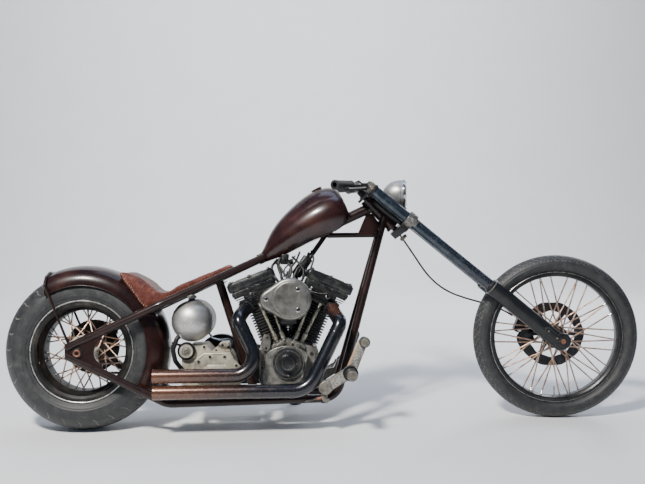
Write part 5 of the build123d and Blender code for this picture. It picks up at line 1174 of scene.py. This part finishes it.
p.lathe(Vector((423, -103, 322)), Vector((0, -1, 0)), [(28.4, 0), (28.4, 6), (27, 8.4), (23, 8.8), (22, 7.4), (19.5, 7.2), (18.5, 9.4), (15, 10.2), (13.8, 8.8), (11.5, 8.8), (10.6, 13), (6.6, 14.6), (0, 14.8)], 56)
p.build()

# oil tank: spun end caps in brushed steel on a dark drum, stacked filler cap
p = Piece("oil_tank_drum", "frame", "black_paint", M["black"], replaces=("oil_tank",))
oc = Vector((446, 0, 443))
p.lathe(oc - Vector((0, 84, 0)), Vector((0, 1, 0)), [(82.6, 0), (83.7, 1.5), (83.7, 166.5), (82.6, 168)], 72)
for y in (-52, 52):
    p.lathe(oc + Vector((0, y - 9, 0)), Vector((0, 1, 0)), [(83.6, 0), (84.0, 0.4), (84.0, 17.6), (83.6, 18)], 72)
p.build()
dome = [(83.9, 84), (83.9, 90)] + [(r, y) for y, r in arc3((90, 84), (131, 58), (150, 8), 26)] + [(0, 150.3)]
for s, tag in ((-1, "right"), (1, "left")):
    p = Piece("oil_tank_cap_" + tag, "frame", "tank_steel", M["oiltank"], sharp=60)
    p.lathe(oc, Vector((0, s, 0)), dome, 96)
    p.lathe(oc + Vector((0, s * 82.5, 0)), Vector((0, s, 0)), [(83.5, 0), (84.4, 0.6), (84.4, 2.4), (83.9, 3)], 96)
    p.build()
p = Piece("oil_filler", "frame", "worn_metal", M["case"])
f0 = oc + Vector((-3, -62, 56))
p.lathe(f0, Vector((0, 0, 1)), [(15, -6), (15, 26), (17, 27), (17, 31), (13, 32), (13, 35), (18.6, 36), (19, 37.5), (19, 45), (17.6, 46.6), (15, 47), (14.4, 50), (0, 50.2)], 40)
for k in range(20):
    a = 2 * math.pi * k / 20
    p.rod(f0 + Vector((18.8 * math.cos(a), 18.8 * math.sin(a), 37.6)), f0 + Vector((18.8 * math.cos(a), 18.8 * math.sin(a), 44.8)), 1.0, 6)
p.build()
# oil feed pipe with its fitting, from the tank's underside to the gearbox
p = Piece("oil_pipe", "frame", "black_paint", M["black"], sharp=0)
p.pipe(arc_path([(402, -104, 386), (388, -118, 378), (372, -124, 330), (380, -122, 286), (410, -100, 240), (416, -84, 228)], 22, 5), 9.5, 16)
p.build()
p = Piece("oil_pipe_fittings", "frame", "bright_metal", M["bright"])
p.rod((404, -103, 388), (394, -112, 381), 11.5, 6)
p.rod((410, -92, 398), (403, -103, 388), 8, 16)
p.build()
p = Piece("breather_cable", "frame", "grip_rubber", M["cable"], sharp=0)
p.pipe(arc_path([(512, -70, 392), (528, -88, 372), (560, -96, 364), (592, -92, 368), (606, -78, 358), (604, -66, 340)], 14, 5), 4.2, 12)
p.build()


def fender_point(theta, y, r):
    """theta in degrees from straight up over the rear axle, positive to the front."""
    a = math.radians(theta)
    return Vector((r * math.sin(a), y, 328.5 + r * math.cos(a)))


FENDER_SECTION = [(-119.5, 268)] + arc3((-119.5, 268), (-111.8, 304), (-88, 331), 10) + arc3((-88, 331), (0, 349), (88, 331), 20) + arc3((88, 331), (111.8, 304), (119.5, 268), 10)
# rolled wire edge all round the fender
p = Piece("fender_edge", "frame", "fender_paint", M["fender"])
for s in (-1, 1):
    p.pipe([fender_point(-30.6 + 154.6 * k / 90, s * 118, 267.4) for k in range(91)], 2.6, 10)
p.pipe([fender_point(124, y, r - 1.5) for y, r in FENDER_SECTION], 2.6, 10)
end = []
for y, r in FENDER_SECTION:
    x = -143.0
    for _ in range(6):
        h = math.sqrt((r - 1.5) ** 2 - x * x)
        x = -147.0 + 9.0 * (316.0 - h) / 86.0
    end.append(Vector((x, y, 328.5 + h)))
p.pipe(end, 2.6, 10)
p.build()
# ---- welds where the frame tubes meet
p = Piece("weld_beads", "frame", "frame_paint", M["frame"])


def weld(c, axis, r, bead=2.2, seg=44):
    c, axis = Vector(c), Vector(axis).normalized()
    u = axis.orthogonal().normalized()
    v = axis.cross(u)
    pts, radii = [], []
    for k in range(seg):
        a = 2 * math.pi * k / seg
        pts.append(c + (u * math.cos(a) + v * math.sin(a)) * r)
        radii.append(bead * (0.82 + 0.25 * (k % 2)))
    p.pipe(pts, bead, 8, closed=True, radii=radii)


rail_dir = Vector((1, 0, 0.448)).normalized()
low_a, low_b = Vector((356, 152, 118)), Vector((-46, 152, 118 + 402 * 0.5057))
for s in (-1, 1):
    weld((52, s * 152, rail_z(52)), rail_dir, 16.2)
    weld((60, s * 152, 118 + 296 * 0.5057), low_b - low_a, 16.2)
weld((548 + 16, 0, rail_z(548 + 16) - 26), (152, 0, -(rail_z(548) - 118)), 18.6)
weld((697, 0, 132), (152, 0, -(rail_z(548) - 118)), 18.6)
weld((1180, 0, rail_z(1180) - 4), rail_dir, 22.4, 2.6)
p.build()

# small gusset in the fork of the rear rails
p = Piece("rail_gussets", "frame", "frame_paint", M["gusset"])
for s in (-1, 1):
    for y in (150,):
        p.prism(Vector((0, s * y - 2, 0)), Vector((1, 0, 0)), Vector((0, 0, 1)), Vector((0, 1, 0)), [(40, 374), (92, 398), (78, 352), (64, 346)], 4, 1)
p.build()


# ---- seat
def seat_piece():
    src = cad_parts["seat"]
    me = src.data.copy()
    me.transform(src.matrix_world)
    o = bpy.data.objects.new("seat_cushion", me)
    bpy.context.scene.collection.objects.link(o)
    bm = bmesh.new()
    bm.from_mesh(me)
    bmesh.ops.remove_doubles(bm, verts=bm.verts, dist=0.00002)
    bmesh.ops.recalc_face_normals(bm, faces=bm.faces)
    bm.to_mesh(me)
    bm.free()
    rm = o.modifiers.new("remesh", "REMESH")
    rm.mode = "VOXEL"
    rm.voxel_size = 0.0055
    sm = o.modifiers.new("soften", "SMOOTH")
    sm.factor, sm.iterations = 0.6, 6
    dg = bpy.context.evaluated_depsgraph_get()
    new = bpy.data.meshes.new_from_object(o.evaluated_get(dg))
    o.modifiers.clear()
    o.data = new
    start = [v.co.copy() for v in new.vertices]
    cl = o.modifiers.new("cloth", "CLOTH")
    s = cl.settings
    s.quality = 6
    s.use_pressure = True
    s.uniform_pressure_force = 3.0
    s.effector_weights.gravity = 0.0
    s.tension_stiffness = s.compression_stiffness = 20
    s.bending_stiffness = 2.0
    cl.collision_settings.use_self_collision = False
    sc = bpy.context.scene
    for f in range(1, 17):
        sc.frame_set(f)
    dg = bpy.context.evaluated_depsgraph_get()
    res = bpy.data.meshes.new_from_object(o.evaluated_get(dg))
    o.modifiers.clear()
    o.data = res
    for v, a in zip(res.vertices, start):
        d = v.co - a
        if d.length > 0.006:
            v.co = a + d.normalized() * 0.006
    sc.frame_set(1)
    # soft dents where the rider has sat, and fine creases towards the stitched edge
    back = FIX.inverted()
    nrm = [v.normal.copy() for v in o.data.vertices]
    for v, n in zip(o.data.vertices, nrm):
        q = back @ v.co
        k = noise.noise(Vector((q.x, q.y * 0.7, q.z)) * 0.016) * 2.6 + noise.noise(Vector((q.x * 1.3, q.y, q.z * 2)) * 0.05) * 0.9
        v.co += n * (k - 0.6) * 0.001
    for poly in o.data.polygons:
        poly.use_smooth = True
    o.data.materials.clear()
    o.data.materials.append(M["leather"])
    sub = o.modifiers.new("smooth", "SUBSURF")
    sub.levels = sub.render_levels = 1
    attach(o, "frame")
    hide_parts("seat")
    return o


seat = seat_piece()
from mathutils.bvhtree import BVHTree
_dg = bpy.context.evaluated_depsgraph_get()
seat_tree = BVHTree.FromObject(seat, _dg)
UNFIX = FIX.inverted()


def on_seat(q):
    """Nearest point of the seat's surface and its normal there, in bike millimetres."""
    loc, n, _, _ = seat_tree.find_nearest(FIX @ Vector(q))
    return UNFIX @ loc, (UNFIX.to_3x3() @ n).normalized()


def stitched(points, name, gap=11.0, length=7.0, inset=0.0):
    """Lacing along a line of points laid on the seat, over a thin welt."""
    pts = []
    for a, b in zip(points[:-1], points[1:]):
        a, b = Vector(a), Vector(b)
        n = max(1, int((b - a).length / 2.0))
        pts += [a.lerp(b, k / n) for k in range(n)]
    pts.append(Vector(points[-1]))
    laid = [on_seat(q) for q in pts]
    line = [l for l, n in laid]
    p = Piece(name, "frame", "seat_leather", M["lace"], sharp=0)
    run = 0.0
    nxt = gap / 2
    for i in range(1, len(line)):
        run += (line[i] - line[i - 1]).length
        if run >= nxt:
            nxt += gap
            d = (line[i] - line[i - 1]).normalized()
            n = laid[i][1]
            side = d.cross(n).normalized()
            a = line[i] - side * length * 0.55 - d * 2.4 + n * 0.2
            b = line[i] + side * length * 0.55 + d * 2.4 + n * 0.2
            m = (a + b) / 2 + n * 1.3
            p.pipe([a, a.lerp(m, 0.5) + n * 0.45, m, b.lerp(m, 0.5) + n * 0.45, b], 1.25, 6, radii=[0.7, 1.2, 1.35, 1.2, 0.7])
    o = p.build()
    w = Piece(name + "_welt", "frame", "seat_leather", M["welt"], sharp=0)
    w.pipe([l + n * 0.1 for l, n in laid[::3]], 1.5, 8)
    w.build()
    return o


for s in (-1, 1):
    y = 131
    edge = [(166, s * 124, 646), (172, s * 127, 630), (196, s * 129, 594), (222, s * 131, 556), (252, s * 131, 514), (268, s * 131, 506)]
    rail = [(268, s * 131, rail_z(268) + 14), (300, s * 131, rail_z(300) + 14), (350, s * 128, rail_z(350) + 14), (420, s * 102, rail_z(420) + 14), (500, s * 76, rail_z(500) + 13), (580, s * 48, rail_z(580) + 11), (606, s * 38, rail_z(606) + 9)]
    tag = "right" if s < 0 else "left"
    stitched(edge, "seat_lace_rear_" + tag)
    stitched(rail, "seat_lace_rail_" + tag)
stitched([(163, y, 650) for y in range(-122, 123, 12)], "seat_lace_back")


# ================================================================ fork and controls
RY = Vector((0, 1, 0))
p = Piece("fork_tube_caps", "front_fork", "fork_chrome", M["worn"])
for s in (-1, 1):
    o = fork_point(-201.5, 0, s * FORK_Y)
    p.lathe(o, F, [(24.6, -1), (25.6, 0), (25.6, 6.5), (24.9, 7.4), (24.9, 9), (25.8, 10), (25.8, 15), (24.9, 16.2), (24.7, 18), (25.4, 19.2), (25.4, 23.6), (24.2, 25), (22.5, 26.8), (20.4, 27.2), (20.2, 33), (18.6, 34.6), (11, 34.9), (10.4, 33.6), (0, 33.6)], 44)
    for k in range(18):
        a = 2 * math.pi * k / 18
        d = (FP * math.cos(a) + RY * math.sin(a))
        p.rod(o + d * 25.4 + F * 10.4, o + d * 25.4 + F * 14.6, 0.9, 6)
p.build()
# dark pinch ring under each cap
p = Piece("fork_pinch_rings", "front_fork", "black_paint", M["black"])
for s in (-1, 1):
    o = fork_point(-189.6, 0, s * FORK_Y)
    p.lathe(o, F, [(24.7, 0), (27.8, 0.6), (28.2, 2), (28.2, 9), (27.6, 10.6), (24.7, 11.2)], 44)
    p.prism(o + F * 1.5 - FP * 24, RY, -FP, F, rounded_rect(22, 18, 5, 4), 9, 1.5)
p.build()
# silver collars of the lower clamp with their pinch lugs, screws and copper-coloured eye
p = Piece("lower_collars", "front_fork", "fork_chrome", M["collar"])
q = Piece("lower_collar_screws", "front_fork", "fork_chrome", M["bright"])
h = Piece("steering_harness", "front_fork", "hose_rubber", M["hose"], sharp=0)
for py, pp, r in ((-66, -22, 9.5), (-52, -10, 9.0), (-74, -8, 8.0), (-44, -26, 8.0)):
    h.pipe(arc_path([fork_point(-176, pp - 6, py + 16), fork_point(-150, pp - 10, py), fork_point(-90, pp - 12, py), fork_point(-30, pp - 8, py), fork_point(4, pp - 4, py)], 30, 8), r, 12)
h.build()
e = Piece("hose_eye", "front_fork", "axle_steel", M["copper"])
for s in (-1, 1):
    o = fork_point(18, 0, s * FORK_Y)
    p.lathe(o, F, [(31.6, 0), (33.4, 0.8), (34, 2), (34, 10), (33.2, 11.2), (33.2, 13), (34, 14.2), (34, 25), (33.2, 26.2), (33.2, 28), (34, 29.2), (34, 34.2), (33.2, 35.6), (31.6, 36)], 52)
    p.prism(o + F * 3 + RY * s * 30 + FP * 2, FP, F, RY * s, rounded_rect(26, 30, 5, 4), 10, 1.5)
    for h in (9, 27):
        q.cap_screw(o + F * h + RY * s * 39.2 + FP * 2, RY * s, 4.6, 4.2)
    c = fork_point(4, -36, s * 96)
    p.prism(c, FP, F, RY * s, rounded_rect(34, 28, 10, 4), 16, 2)
e.lathe(fork_point(4, -40, -112), -RY, [(4.6, 0), (7.4, 0), (7.8, 1), (7.2, 2), (4.8, 2.2), (4.4, 1), (0, 1)], 28)
p.build()
q.build()
e.build()
# stem nut under the lower clamp
p = Piece("stem_nuts", "front_fork", "fork_chrome", M["worn"])
p.lathe(steer_point(-46, 0), -U, [(13, -14), (17.6, -13), (18.2, -11), (18.2, -2), (17, 0), (13, 0.4)], 6)
p.build()
# lumps of the riser clamps, with their screws
p = Piece("riser_clamps", "front_fork", "black_paint", M["black"])
q = Piece("riser_screws", "front_fork", "black_paint", M["worn"])
for s in (-1, 1):
    c = Vector((1145.5, s * 48, 996.0))
    p.lathe(c - RY * 22, RY, [(12.8, 0), (19, 0.6), (20.5, 2.4), (20.5, 41.6), (19, 43.4), (12.8, 44)], 32)
    for k in (-1, 1):
        q.cap_screw(c + RY * (13 * k) + Vector((-17.6, 0, 6)), Vector((-0.94, 0, 0.33)), 4.2, 4)
    p.prism(steer_point(209, 11, s * 48), P, RY, U, rounded_rect(48, 42, 9), 26, 3)
    p.lathe(steer_point(206.5, 11, s * 48), U, [(20, 0), (24, 0.8), (24, 5), (22, 6.6), (17, 7)], 32)
p.lathe(steer_point(206, 0), U, [(0, 0), (20, 0.5), (20.6, 2), (20.6, 7), (18, 8), (14, 8.4), (13.6, 17), (12, 18.6), (0, 18.8)], 6)
p.build()
q.build()

# handlebar: ribbed grips, perches, lever pivots
p = Piece("grip_ribs", "front_fork", "grip_rubber", M["grip"])
for s in (-1, 1):
    e0 = Vector((1053, s * 335, 996.3))
    d = (Vector((1145.5, s * 186, 996.0)) - e0).normalized()
    prof = [(17.1, 0.4), (19.2, 0.8), (19.4, 2.6), (18.4, 4.2)]
    h = 6.0
    while h < 108:
        prof += [(17.3, h), (18.3, h + 0.7), (18.5, h + 2.0), (18.3, h + 3.3), (17.3, h + 4.0)]
        h += 5.4
    prof += [(17.5, 112), (19.4, 113.4), (19.5, 116), (18.4, 117.6), (17.1, 117.8)]
    p.lathe(e0, d, prof, 44)
p.build()
p = Piece("lever_blades", "front_fork", "lever_paint", M["lever"])
q = Piece("lever_pivots", "front_fork", "lever_paint", M["worn"])
for s in (-1, 1):
    a = Vector((1176, s * 158, 986.5))
    b = Vector((1157, s * 214, 983))
    c = Vector((1104, s * 320, 978.6))
    mids = [a, a.lerp(b, 0.5), b, b.lerp(c, 0.25), b.lerp(c, 0.5), b.lerp(c, 0.8), c]
    p.pipe(mids, 6.6, 12, radii=[8.2, 7.6, 7.2, 7.0, 6.8, 7.2, 8.4])
    p.lathe(c - (c - b).normalized() * 2, (c - b).normalized(), [(8.3, 0), (9.2, 4), (7.6, 9), (0, 11)], 20)
    q.bolt(Vector((1172, s * 160, 993)), Vector((0, 0, 1)), 10, 5)
    q.bolt(Vector((1172, s * 160, 979)), Vector((0, 0, -1)), 10, 4)
    p.lathe(Vector((1145.5, s * 140, 996.0)), RY * s, [(12.8, 0), (18.4, 0.6), (19.2, 2), (19.2, 25.6), (18.4, 27.2), (12.8, 28)], 36)
    for k in (-1, 1):
        q.cap_screw(Vector((1145.5 + 4, s * 154 + 8 * k, 996.0 + 18.6)), Vector((0, 0, 1)), 3.4, 3.2)
p.build()
q.build()

# headlight: rolled rim, lens ribs' ring, foot nut
p = Piece("headlight_rim", "front_fork", "lamp_steel", M["bright"])
L0 = Vector((1344, 0, 962))
p.lathe(L0, Vector((1, 0, 0)), [(58.2, -10), (59.6, -9), (60.2, -6), (60.2, -1), (59, 1.2), (55, 1.6), (54, 0.4)], 72)
p.ring(L0 + Vector((-22, 0, 0)), Vector((1, 0, 0)), 58.1, 0.9, 72, 8)
p.build()
p = Piece("headlight_foot_nut", "front_fork", "lamp_steel", M["black"])
p.lathe(Vector((1333, 0, 893)), Vector((0, 0, 1)), [(8.2, 0), (17, 0.8), (18, 2.4), (18, 9), (15, 12), (9.6, 13)], 28)
p.bolt(Vector((1333, 0, 880)), Vector((0, 0, -1)), 18, 8)
p.build()

# sliders: dust seals, bright snap ring, raised pads, drain screws, axle clamps
p = Piece("slider_seals", "front_fork", "slider_paint", M["black"])
q = Piece("slider_rings", "front_fork", "fork_chrome", M["aged"])
b = Piece("slider_pads", "front_fork", "slider_paint", M["slider"])
c = Piece("slider_screws", "front_fork", "slider_paint", M["worn"])
for s in (-1, 1):
    o = fork_point(424, 0, s * FORK_Y)
    p.lathe(o, F, [(29.2, -9), (30.4, -8), (30.4, -1.2), (29.6, 0.4), (27, 1.8), (25.2, 3.4), (24.7, 5)], 48)
    q.lathe(fork_point(436, 0, s * FORK_Y), F, [(33.1, -1), (34.6, -0.2), (34.8, 1.6), (34.2, 3), (31, 3.4)], 52)
    # pad on the outer face, drawn long and round-ended, with a raised bead
    mid = fork_point(744, 4, s * FORK_Y)
    out, bead = [], []
    for k in range(28):
        a = 2 * math.pi * k / 28
        out.append((40 * (1 if math.cos(a) > 0 else -1) * 0.62 + 15 * math.cos(a), 13 * math.sin(a)))
    b.prism(mid + RY * s * 28.5, -F, FP, RY * s, out, 8.5, 2.5)
    bead = [mid + RY * s * 36.8 - F * u + FP * v for u, v in out]
    b.pipe(bead, 1.5, 8, closed=True)
    for u in (-22, 22):
        c.cap_screw(mid + RY * s * 37 - F * u, RY * s, 4.0, 2.4)
    # boss round the axle's end
    b.lathe(FRONT_C + RY * s * 132, RY * s, [(34, 0), (34, 5), (32.5, 8), (29, 9.6), (20.5, 10.2), (20, 8.6), (15.4, 8.6)], 48)
    # pinch bolts behind the foot of the slider
    for t in (10, -12):
        c.bolt(FRONT_C + F * t - FP * 32 + RY * s * 112, -FP, 11, 6)
p.build()
q.build()
b.build()
c.build()

# caliper: body ribs, bolts, pads and its hanger
p = Piece("caliper_detail", "front_fork", "lever_paint", M["lever"])
q = Piece("caliper_bolts", "front_fork", "lever_paint", M["bright"])
cc = FRONT_C + Vector((128 * math.cos(math.radians(158)), 64, 128 * math.sin(math.radians(158))))
rad = Vector((math.cos(math.radians(158)), 0, math.sin(math.radians(158))))
tan = Vector((-rad.z, 0, rad.x))
for s in (-1, 1):
    y = 64 + s * 18.5
    base = Vector((cc.x, y, cc.z))
    for k in (-1, 0, 1):
        p.prism(base + tan * (22 * k) - rad * 2, rad, tan, RY * s, rounded_rect(52, 17, 5, 4), 7, 1.5)
    for k in (-1, 1):
        q.bolt(base + tan * (33 * k) + rad * 8, RY * s, 12, 6)
        q.cap_screw(base + tan * (11 * k) - rad * 14 + RY * s * 4, RY * s, 5.5, 5)
plate = []
for k in range(9):
    a = math.radians(148 + 58 * k / 8)
    plate.append((136 * math.cos(a), 136 * math.sin(a)))
for k in range(9):
    a = math.radians(206 - 58 * k / 8)
    plate.append((72 * math.cos(a), 72 * math.sin(a)))
p.prism(FRONT_C + Vector((0, 73, 0)), Vector((1, 0, 0)), Vector((0, 0, 1)), Vector((0, 1, 0)), plate, 8, 1.5)
p.pipe(arc_path([cc + tan * 40 + Vector((0, -16, 0)), cc + tan * 66 + rad * 6 + Vector((0, -18, 0)), cc + tan * 92 - rad * 16 + Vector((0, -18, 0)), cc + tan * 104 - rad * 44 + Vector((0, -16, 0))], 26, 5), 5.5, 12)
p.rod(cc + tan * 96 - rad * 22 + Vector((0, -26, 0)), cc + tan * 110 - rad * 36 + Vector((0, -26, 0)), 9, 14)
p.build()
q.build()


# ================================================================ foot controls
p = Piece("control_caps", "frame", "worn_metal", M["worn"])
k_ = Piece("control_rings", "frame", "black_paint", M["black"])
for s in (-1, 1):
    d = Vector((0, s, 0))
    # large ringed cap at the arm's root
    p.lathe(Vector((982, s * 204, 174)), d, [(26.4, -3), (27, -1), (26.6, 1.6), (24.6, 3.4), (22.4, 3.8), (21.6, 2.6), (19.4, 2.6), (18.6, 3.8), (15.4, 4.6), (14.6, 3.4), (11.6, 3.4), (11, 4.8), (6, 5.4), (5.4, 4.2), (0, 4.2)], 56)
    # dark drum and worn cap of the peg
    k_.lathe(Vector((1082, s * 198, 231)), d, [(26, 0), (30, 0.8), (30.6, 3), (30.6, 26), (29.4, 28.6), (21, 29)], 52)
    p.lathe(Vector((1082, s * 296, 231)), d, [(20.3, -2), (21, 0), (21, 5), (19.6, 7.4), (17, 8), (16, 7), (13.6, 7), (12.8, 8.2), (8, 9), (7.2, 7.8), (0, 7.8)], 48)
    # ribbed rubber on the peg
    prof = [(20.2, 30)]
    h = 32.0
    while h < 92:
        prof += [(20.4, h), (23.2, h + 1), (23.2, h + 4.6), (20.4, h + 5.6)]
        h += 7.6
    prof += [(20.2, 96)]
    k_.lathe(Vector((1082, s * 198, 231)), d, prof, 44)
    # pedal: dark ring, worn ringed face
    k_.lathe(Vector((1139, s * 196, 354)), d, [(18.2, 0), (20.2, 1), (20.6, 3), (20.6, 51), (19.6, 54.5), (18.1, 55)], 44)
    p.lathe(Vector((1139, s * 249, 354)), d, [(17.4, -1), (17, 2), (15, 3.6), (13, 3.8), (12.2, 2.8), (10, 2.8), (9.2, 4), (5, 4.6), (0, 4.6)], 44)
    # small hook plate under the root and the linkage rod with its copper-coloured end
    p.prism(Vector((966, s * 186, 118)), Vector((1, 0, 0)), Vector((0, 0, 1)), d, [(0, 30), (6, 2), (22, -6), (34, 4), (30, 12), (20, 10), (20, 34)], 8, 1.5)
    p.rod((900, s * 172, 118), (948, s * 172, 128), 3.4, 12)
    # clamp halves on the lower rail
    k_.lathe(Vector((968, s * 106, 118)), Vector((1, 0, 0)), [(12, 0), (18.4, 0.8), (19.2, 2.4), (19.2, 25.6), (18.4, 27.2), (12, 28)], 40)
    for x in (975, 989):
        p.cap_screw(Vector((x, s * 125, 118)), Vector((0, s, 0)), 4.4, 3.6)
p.build()
k_.build()
p = Piece("linkage_ends", "frame", "axle_steel", M["copper"])
for s in (-1, 1):
    p.rod((946, s * 172, 127.6), (974, s * 172, 133), 5.6, 14)
    p.rod((972, s * 172, 132.6), (982, s * 172, 134.6), 4.0, 12)
p.build()
# small bracket with a ball joint between the down tube and the case, as on the right in the photo
p = Piece("link_bracket", "frame", "worn_metal", M["bright"])
p.rod((985, -112, 243), (1022, -112, 248), 4.4, 12)
p.lathe(Vector((985, -112, 243)), Vector((-1, 0, -0.1)), [(0, -7), (5, -5), (7.4, 0), (5, 5.6), (0, 7.4)], 20)
p.rod((1020, -112, 247), (1032, -112, 278), 5, 12)
p.build()

# pitted wear faces laid on the arms
p = Piece("arm_faces", "frame", "worn_metal", M["pitted"])
for s in (-1, 1):
    d = Vector((0, s, 0))
    p.prism(Vector((0, s * 193.6, 0)), Vector((1, 0, 0)), Vector((0, 0, 1)), d, [(979, 197), (992, 155), (1086, 212), (1071, 246)], 3.2, 1.6)
    p.prism(Vector((0, s * 185.6, 0)), Vector((1, 0, 0)), Vector((0, 0, 1)), d, [(1071, 240), (1102, 226), (1153, 344), (1125, 356)], 3.0, 1.6)
p.build()
p = Piece("arm_edges", "frame", "worn_metal", M["tan"])
for s in (-1, 1):
    p.prism(Vector((0, s * 179, 0)), Vector((1, 0, 0)), Vector((0, 0, 1)), Vector((0, s, 0)), [(1064, 241), (1071, 238), (1124, 354), (1118, 358)], 9, 1)
p.build()

# ================================================================ left side: primary drive, chain, side stand
p = Piece("primary_bolts", "frame", "black_paint", M["bright"])
q = Piece("primary_ribs", "frame", "black_paint", M["black"])
for x, z in ((560, 360), (640, 338), (720, 316), (800, 296), (880, 268), (900, 215), (870, 162), (760, 156), (680, 158), (600, 156), (470, 200), (446, 262), (478, 338)):
    p.cap_screw(Vector((x, 181.4, z)), Vector((0, 1, 0)), 5, 4)
for x, z, r in ((838, 215, 50), (545, 262, 84)):
    q.lathe(Vector((x, 181.5, z)), Vector((0, 1, 0)), [(r, 0), (r, 3), (r - 3, 5.6), (r - 9, 6.2), (r - 11, 5), (r * 0.62, 5), (r * 0.58, 6.6), (r * 0.5, 7), (0, 7.2)], 72)
    for k in range(5):
        a = 2 * math.pi * k / 5 + 0.3
        p.cap_screw(Vector((x + (r - 6) * math.cos(a), 187.4, z + (r - 6) * math.sin(a))), Vector((0, 1, 0)), 4, 3)
q.prism(Vector((690, 181.5, 240)), Vector((1, 0, -0.12)), Vector((0.12, 0, 1)), Vector((0, 1, 0)), rounded_rect(90, 46, 20), 5, 2)
p.build()
q.build()

# chain: outer and inner plates with rollers along the closed band
def chain_path(r0, c0, r1, c1, pitch):
    """Points of a closed belt round two circles in the x-z plane."""
    c0, c1 = Vector(c0), Vector(c1)
    d = (c1 - c0)
    L = d.length
    ang = math.atan2(d.y, d.x)
    o = math.acos((r0 - r1) / L)
    up0, up1 = ang + o, ang - o
    t = []
    p0, p1 = c0 + Vector((math.cos(up0), math.sin(up0))) * r0, c1 + Vector((math.cos(up0), math.sin(up0))) * r1
    p2, p3 = c1 + Vector((math.cos(up1), math.sin(up1))) * r1, c0 + Vector((math.cos(up1), math.sin(up1))) * r0
    pts = []
    n = 400
    for k in range(n):
        pts.append(p0.lerp(p1, k / n))
    for k in range(n):
        a = up0 - (2 * o) * k / n
        pts.append(c1 + Vector((math.cos(a), math.sin(a))) * r1)
    for k in range(n):
        pts.append(p2.lerp(p3, k / n))
    for k in range(n):
        a = up1 - (2 * math.pi - 2 * o) * k / n
        pts.append(c0 + Vector((math.cos(a), math.sin(a))) * r0)
    total = sum((pts[(i + 1) % len(pts)] - pts[i]).length for i in range(len(pts)))
    count = 2 * round(total / pitch / 2)
    step = total / count
    out, run, want = [], 0.0, 0.0
    for i in range(len(pts)):
        a, b = pts[i], pts[(i + 1) % len(pts)]
        seg = (b - a).length
        while want <= run + seg and len(out) < count:
            out.append(a.lerp(b, (want - run) / seg if seg > 0 else 0))
            want += step
        run += seg
    return out


p = Piece("chain_links", "frame", "chain_steel", M["chain"], sharp=40, replaces=("drive_chain",))
pins = chain_path(112.3, (0, 328.5), 39.3, (500, 242), 15.875)
n = len(pins)
for i in range(n):
    a, b = pins[i], pins[(i + 1) % n]
    d = (b - a)
    L = d.length
    d = d.normalized()
    m = (a + b) / 2
    t = Vector((d.x, 0, d.y))
    up_ = Vector((-d.y, 0, d.x))
    h = 5.6
    outline = []
    for k in range(9):
        w = math.radians(-90 + 180 * k / 8)
        outline.append((L / 2 + h * math.cos(w) * 0.98, h * math.sin(w)))
    outline.append((0, 4.1))
    for k in range(9):
        w = math.radians(90 + 180 * k / 8)
        outline.append((-L / 2 + h * math.cos(w) * 0.98, h * math.sin(w)))
    outline.append((0, -4.1))
    y_out = (131.2, 121.2) if i % 2 else (129.2, 123.2)
    for y in y_out:
        p.prism(Vector((m.x, y, m.y)), t, up_, Vector((0, 1, 0)), outline, 1.6, 0.3)
    p.lathe(Vector((a.x, 121.0, a.y)), Vector((0, 1, 0)), [(0, 0), (1.9, 0), (2.4, 0.4), (2.4, 11.6), (1.9, 12), (0, 12)], 8)
    p.lathe(Vector((a.x, 124.9, a.y)), Vector((0, 1, 0)), [(4.6, 0), (4.6, 4.2)], 10)
p.build()
print("chain links", n)

# side stand: spring
p = Piece("stand_spring", "frame", "black_paint", M["worn"])
sp0, sp1 = Vector((812, 136, 112)), Vector((884, 128, 118))
coil = []
axis = (sp1 - sp0)
u1 = axis.orthogonal().normalized()
v1 = axis.normalized().cross(u1)
turns = 15
for k in range(turns * 12 + 1):
    a = 2 * math.pi * k / 12
    coil.append(sp0 + axis * (0.12 + 0.76 * k / (turns * 12)) + (u1 * math.cos(a) + v1 * math.sin(a)) * 5)
p.pipe(coil, 1.3, 6)
p.pipe([sp0, sp0 + axis * 0.06, sp0 + axis * 0.12 + u1 * 4], 1.3, 6)
p.pipe([sp1, sp1 - axis * 0.06, sp1 - axis * 0.12 + u1 * 4], 1.3, 6)
p.build()

# ------------------------------------------------------------------ cord
HOSE_PTS = [(1322, 0, 786), (1352, 8, 742), (1384, 16, 694), (1412, 26, 650), (1446, 38, 604), (1490, 52, 562), (1540, 64, 530),
            (1596, 74, 508), (1654, 80, 490), (1712, 82, 474), (1768, 82, 452), (1812, 82, 424)]
cu = bpy.data.curves.new("brake_line", "CURVE")
cu.dimensions = "3D"
cu.bevel_depth = 0.004
cu.bevel_resolution = 4
cu.resolution_u = 12
sp = cu.splines.new("NURBS")
sp.points.add(len(HOSE_PTS) - 1)
for pt, p in zip(sp.points, HOSE_PTS):
    q = TURN @ Vector(p)
    pt.co = (q.x, q.y, q.z, 1)
sp.order_u = 3
sp.use_endpoint_u = True
cu.materials.append(M["hose"])
brake_line = bpy.data.objects.new("brake_line", cu)
scene.collection.objects.link(brake_line)
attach(brake_line, "front_fork")
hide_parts("brake_hose")
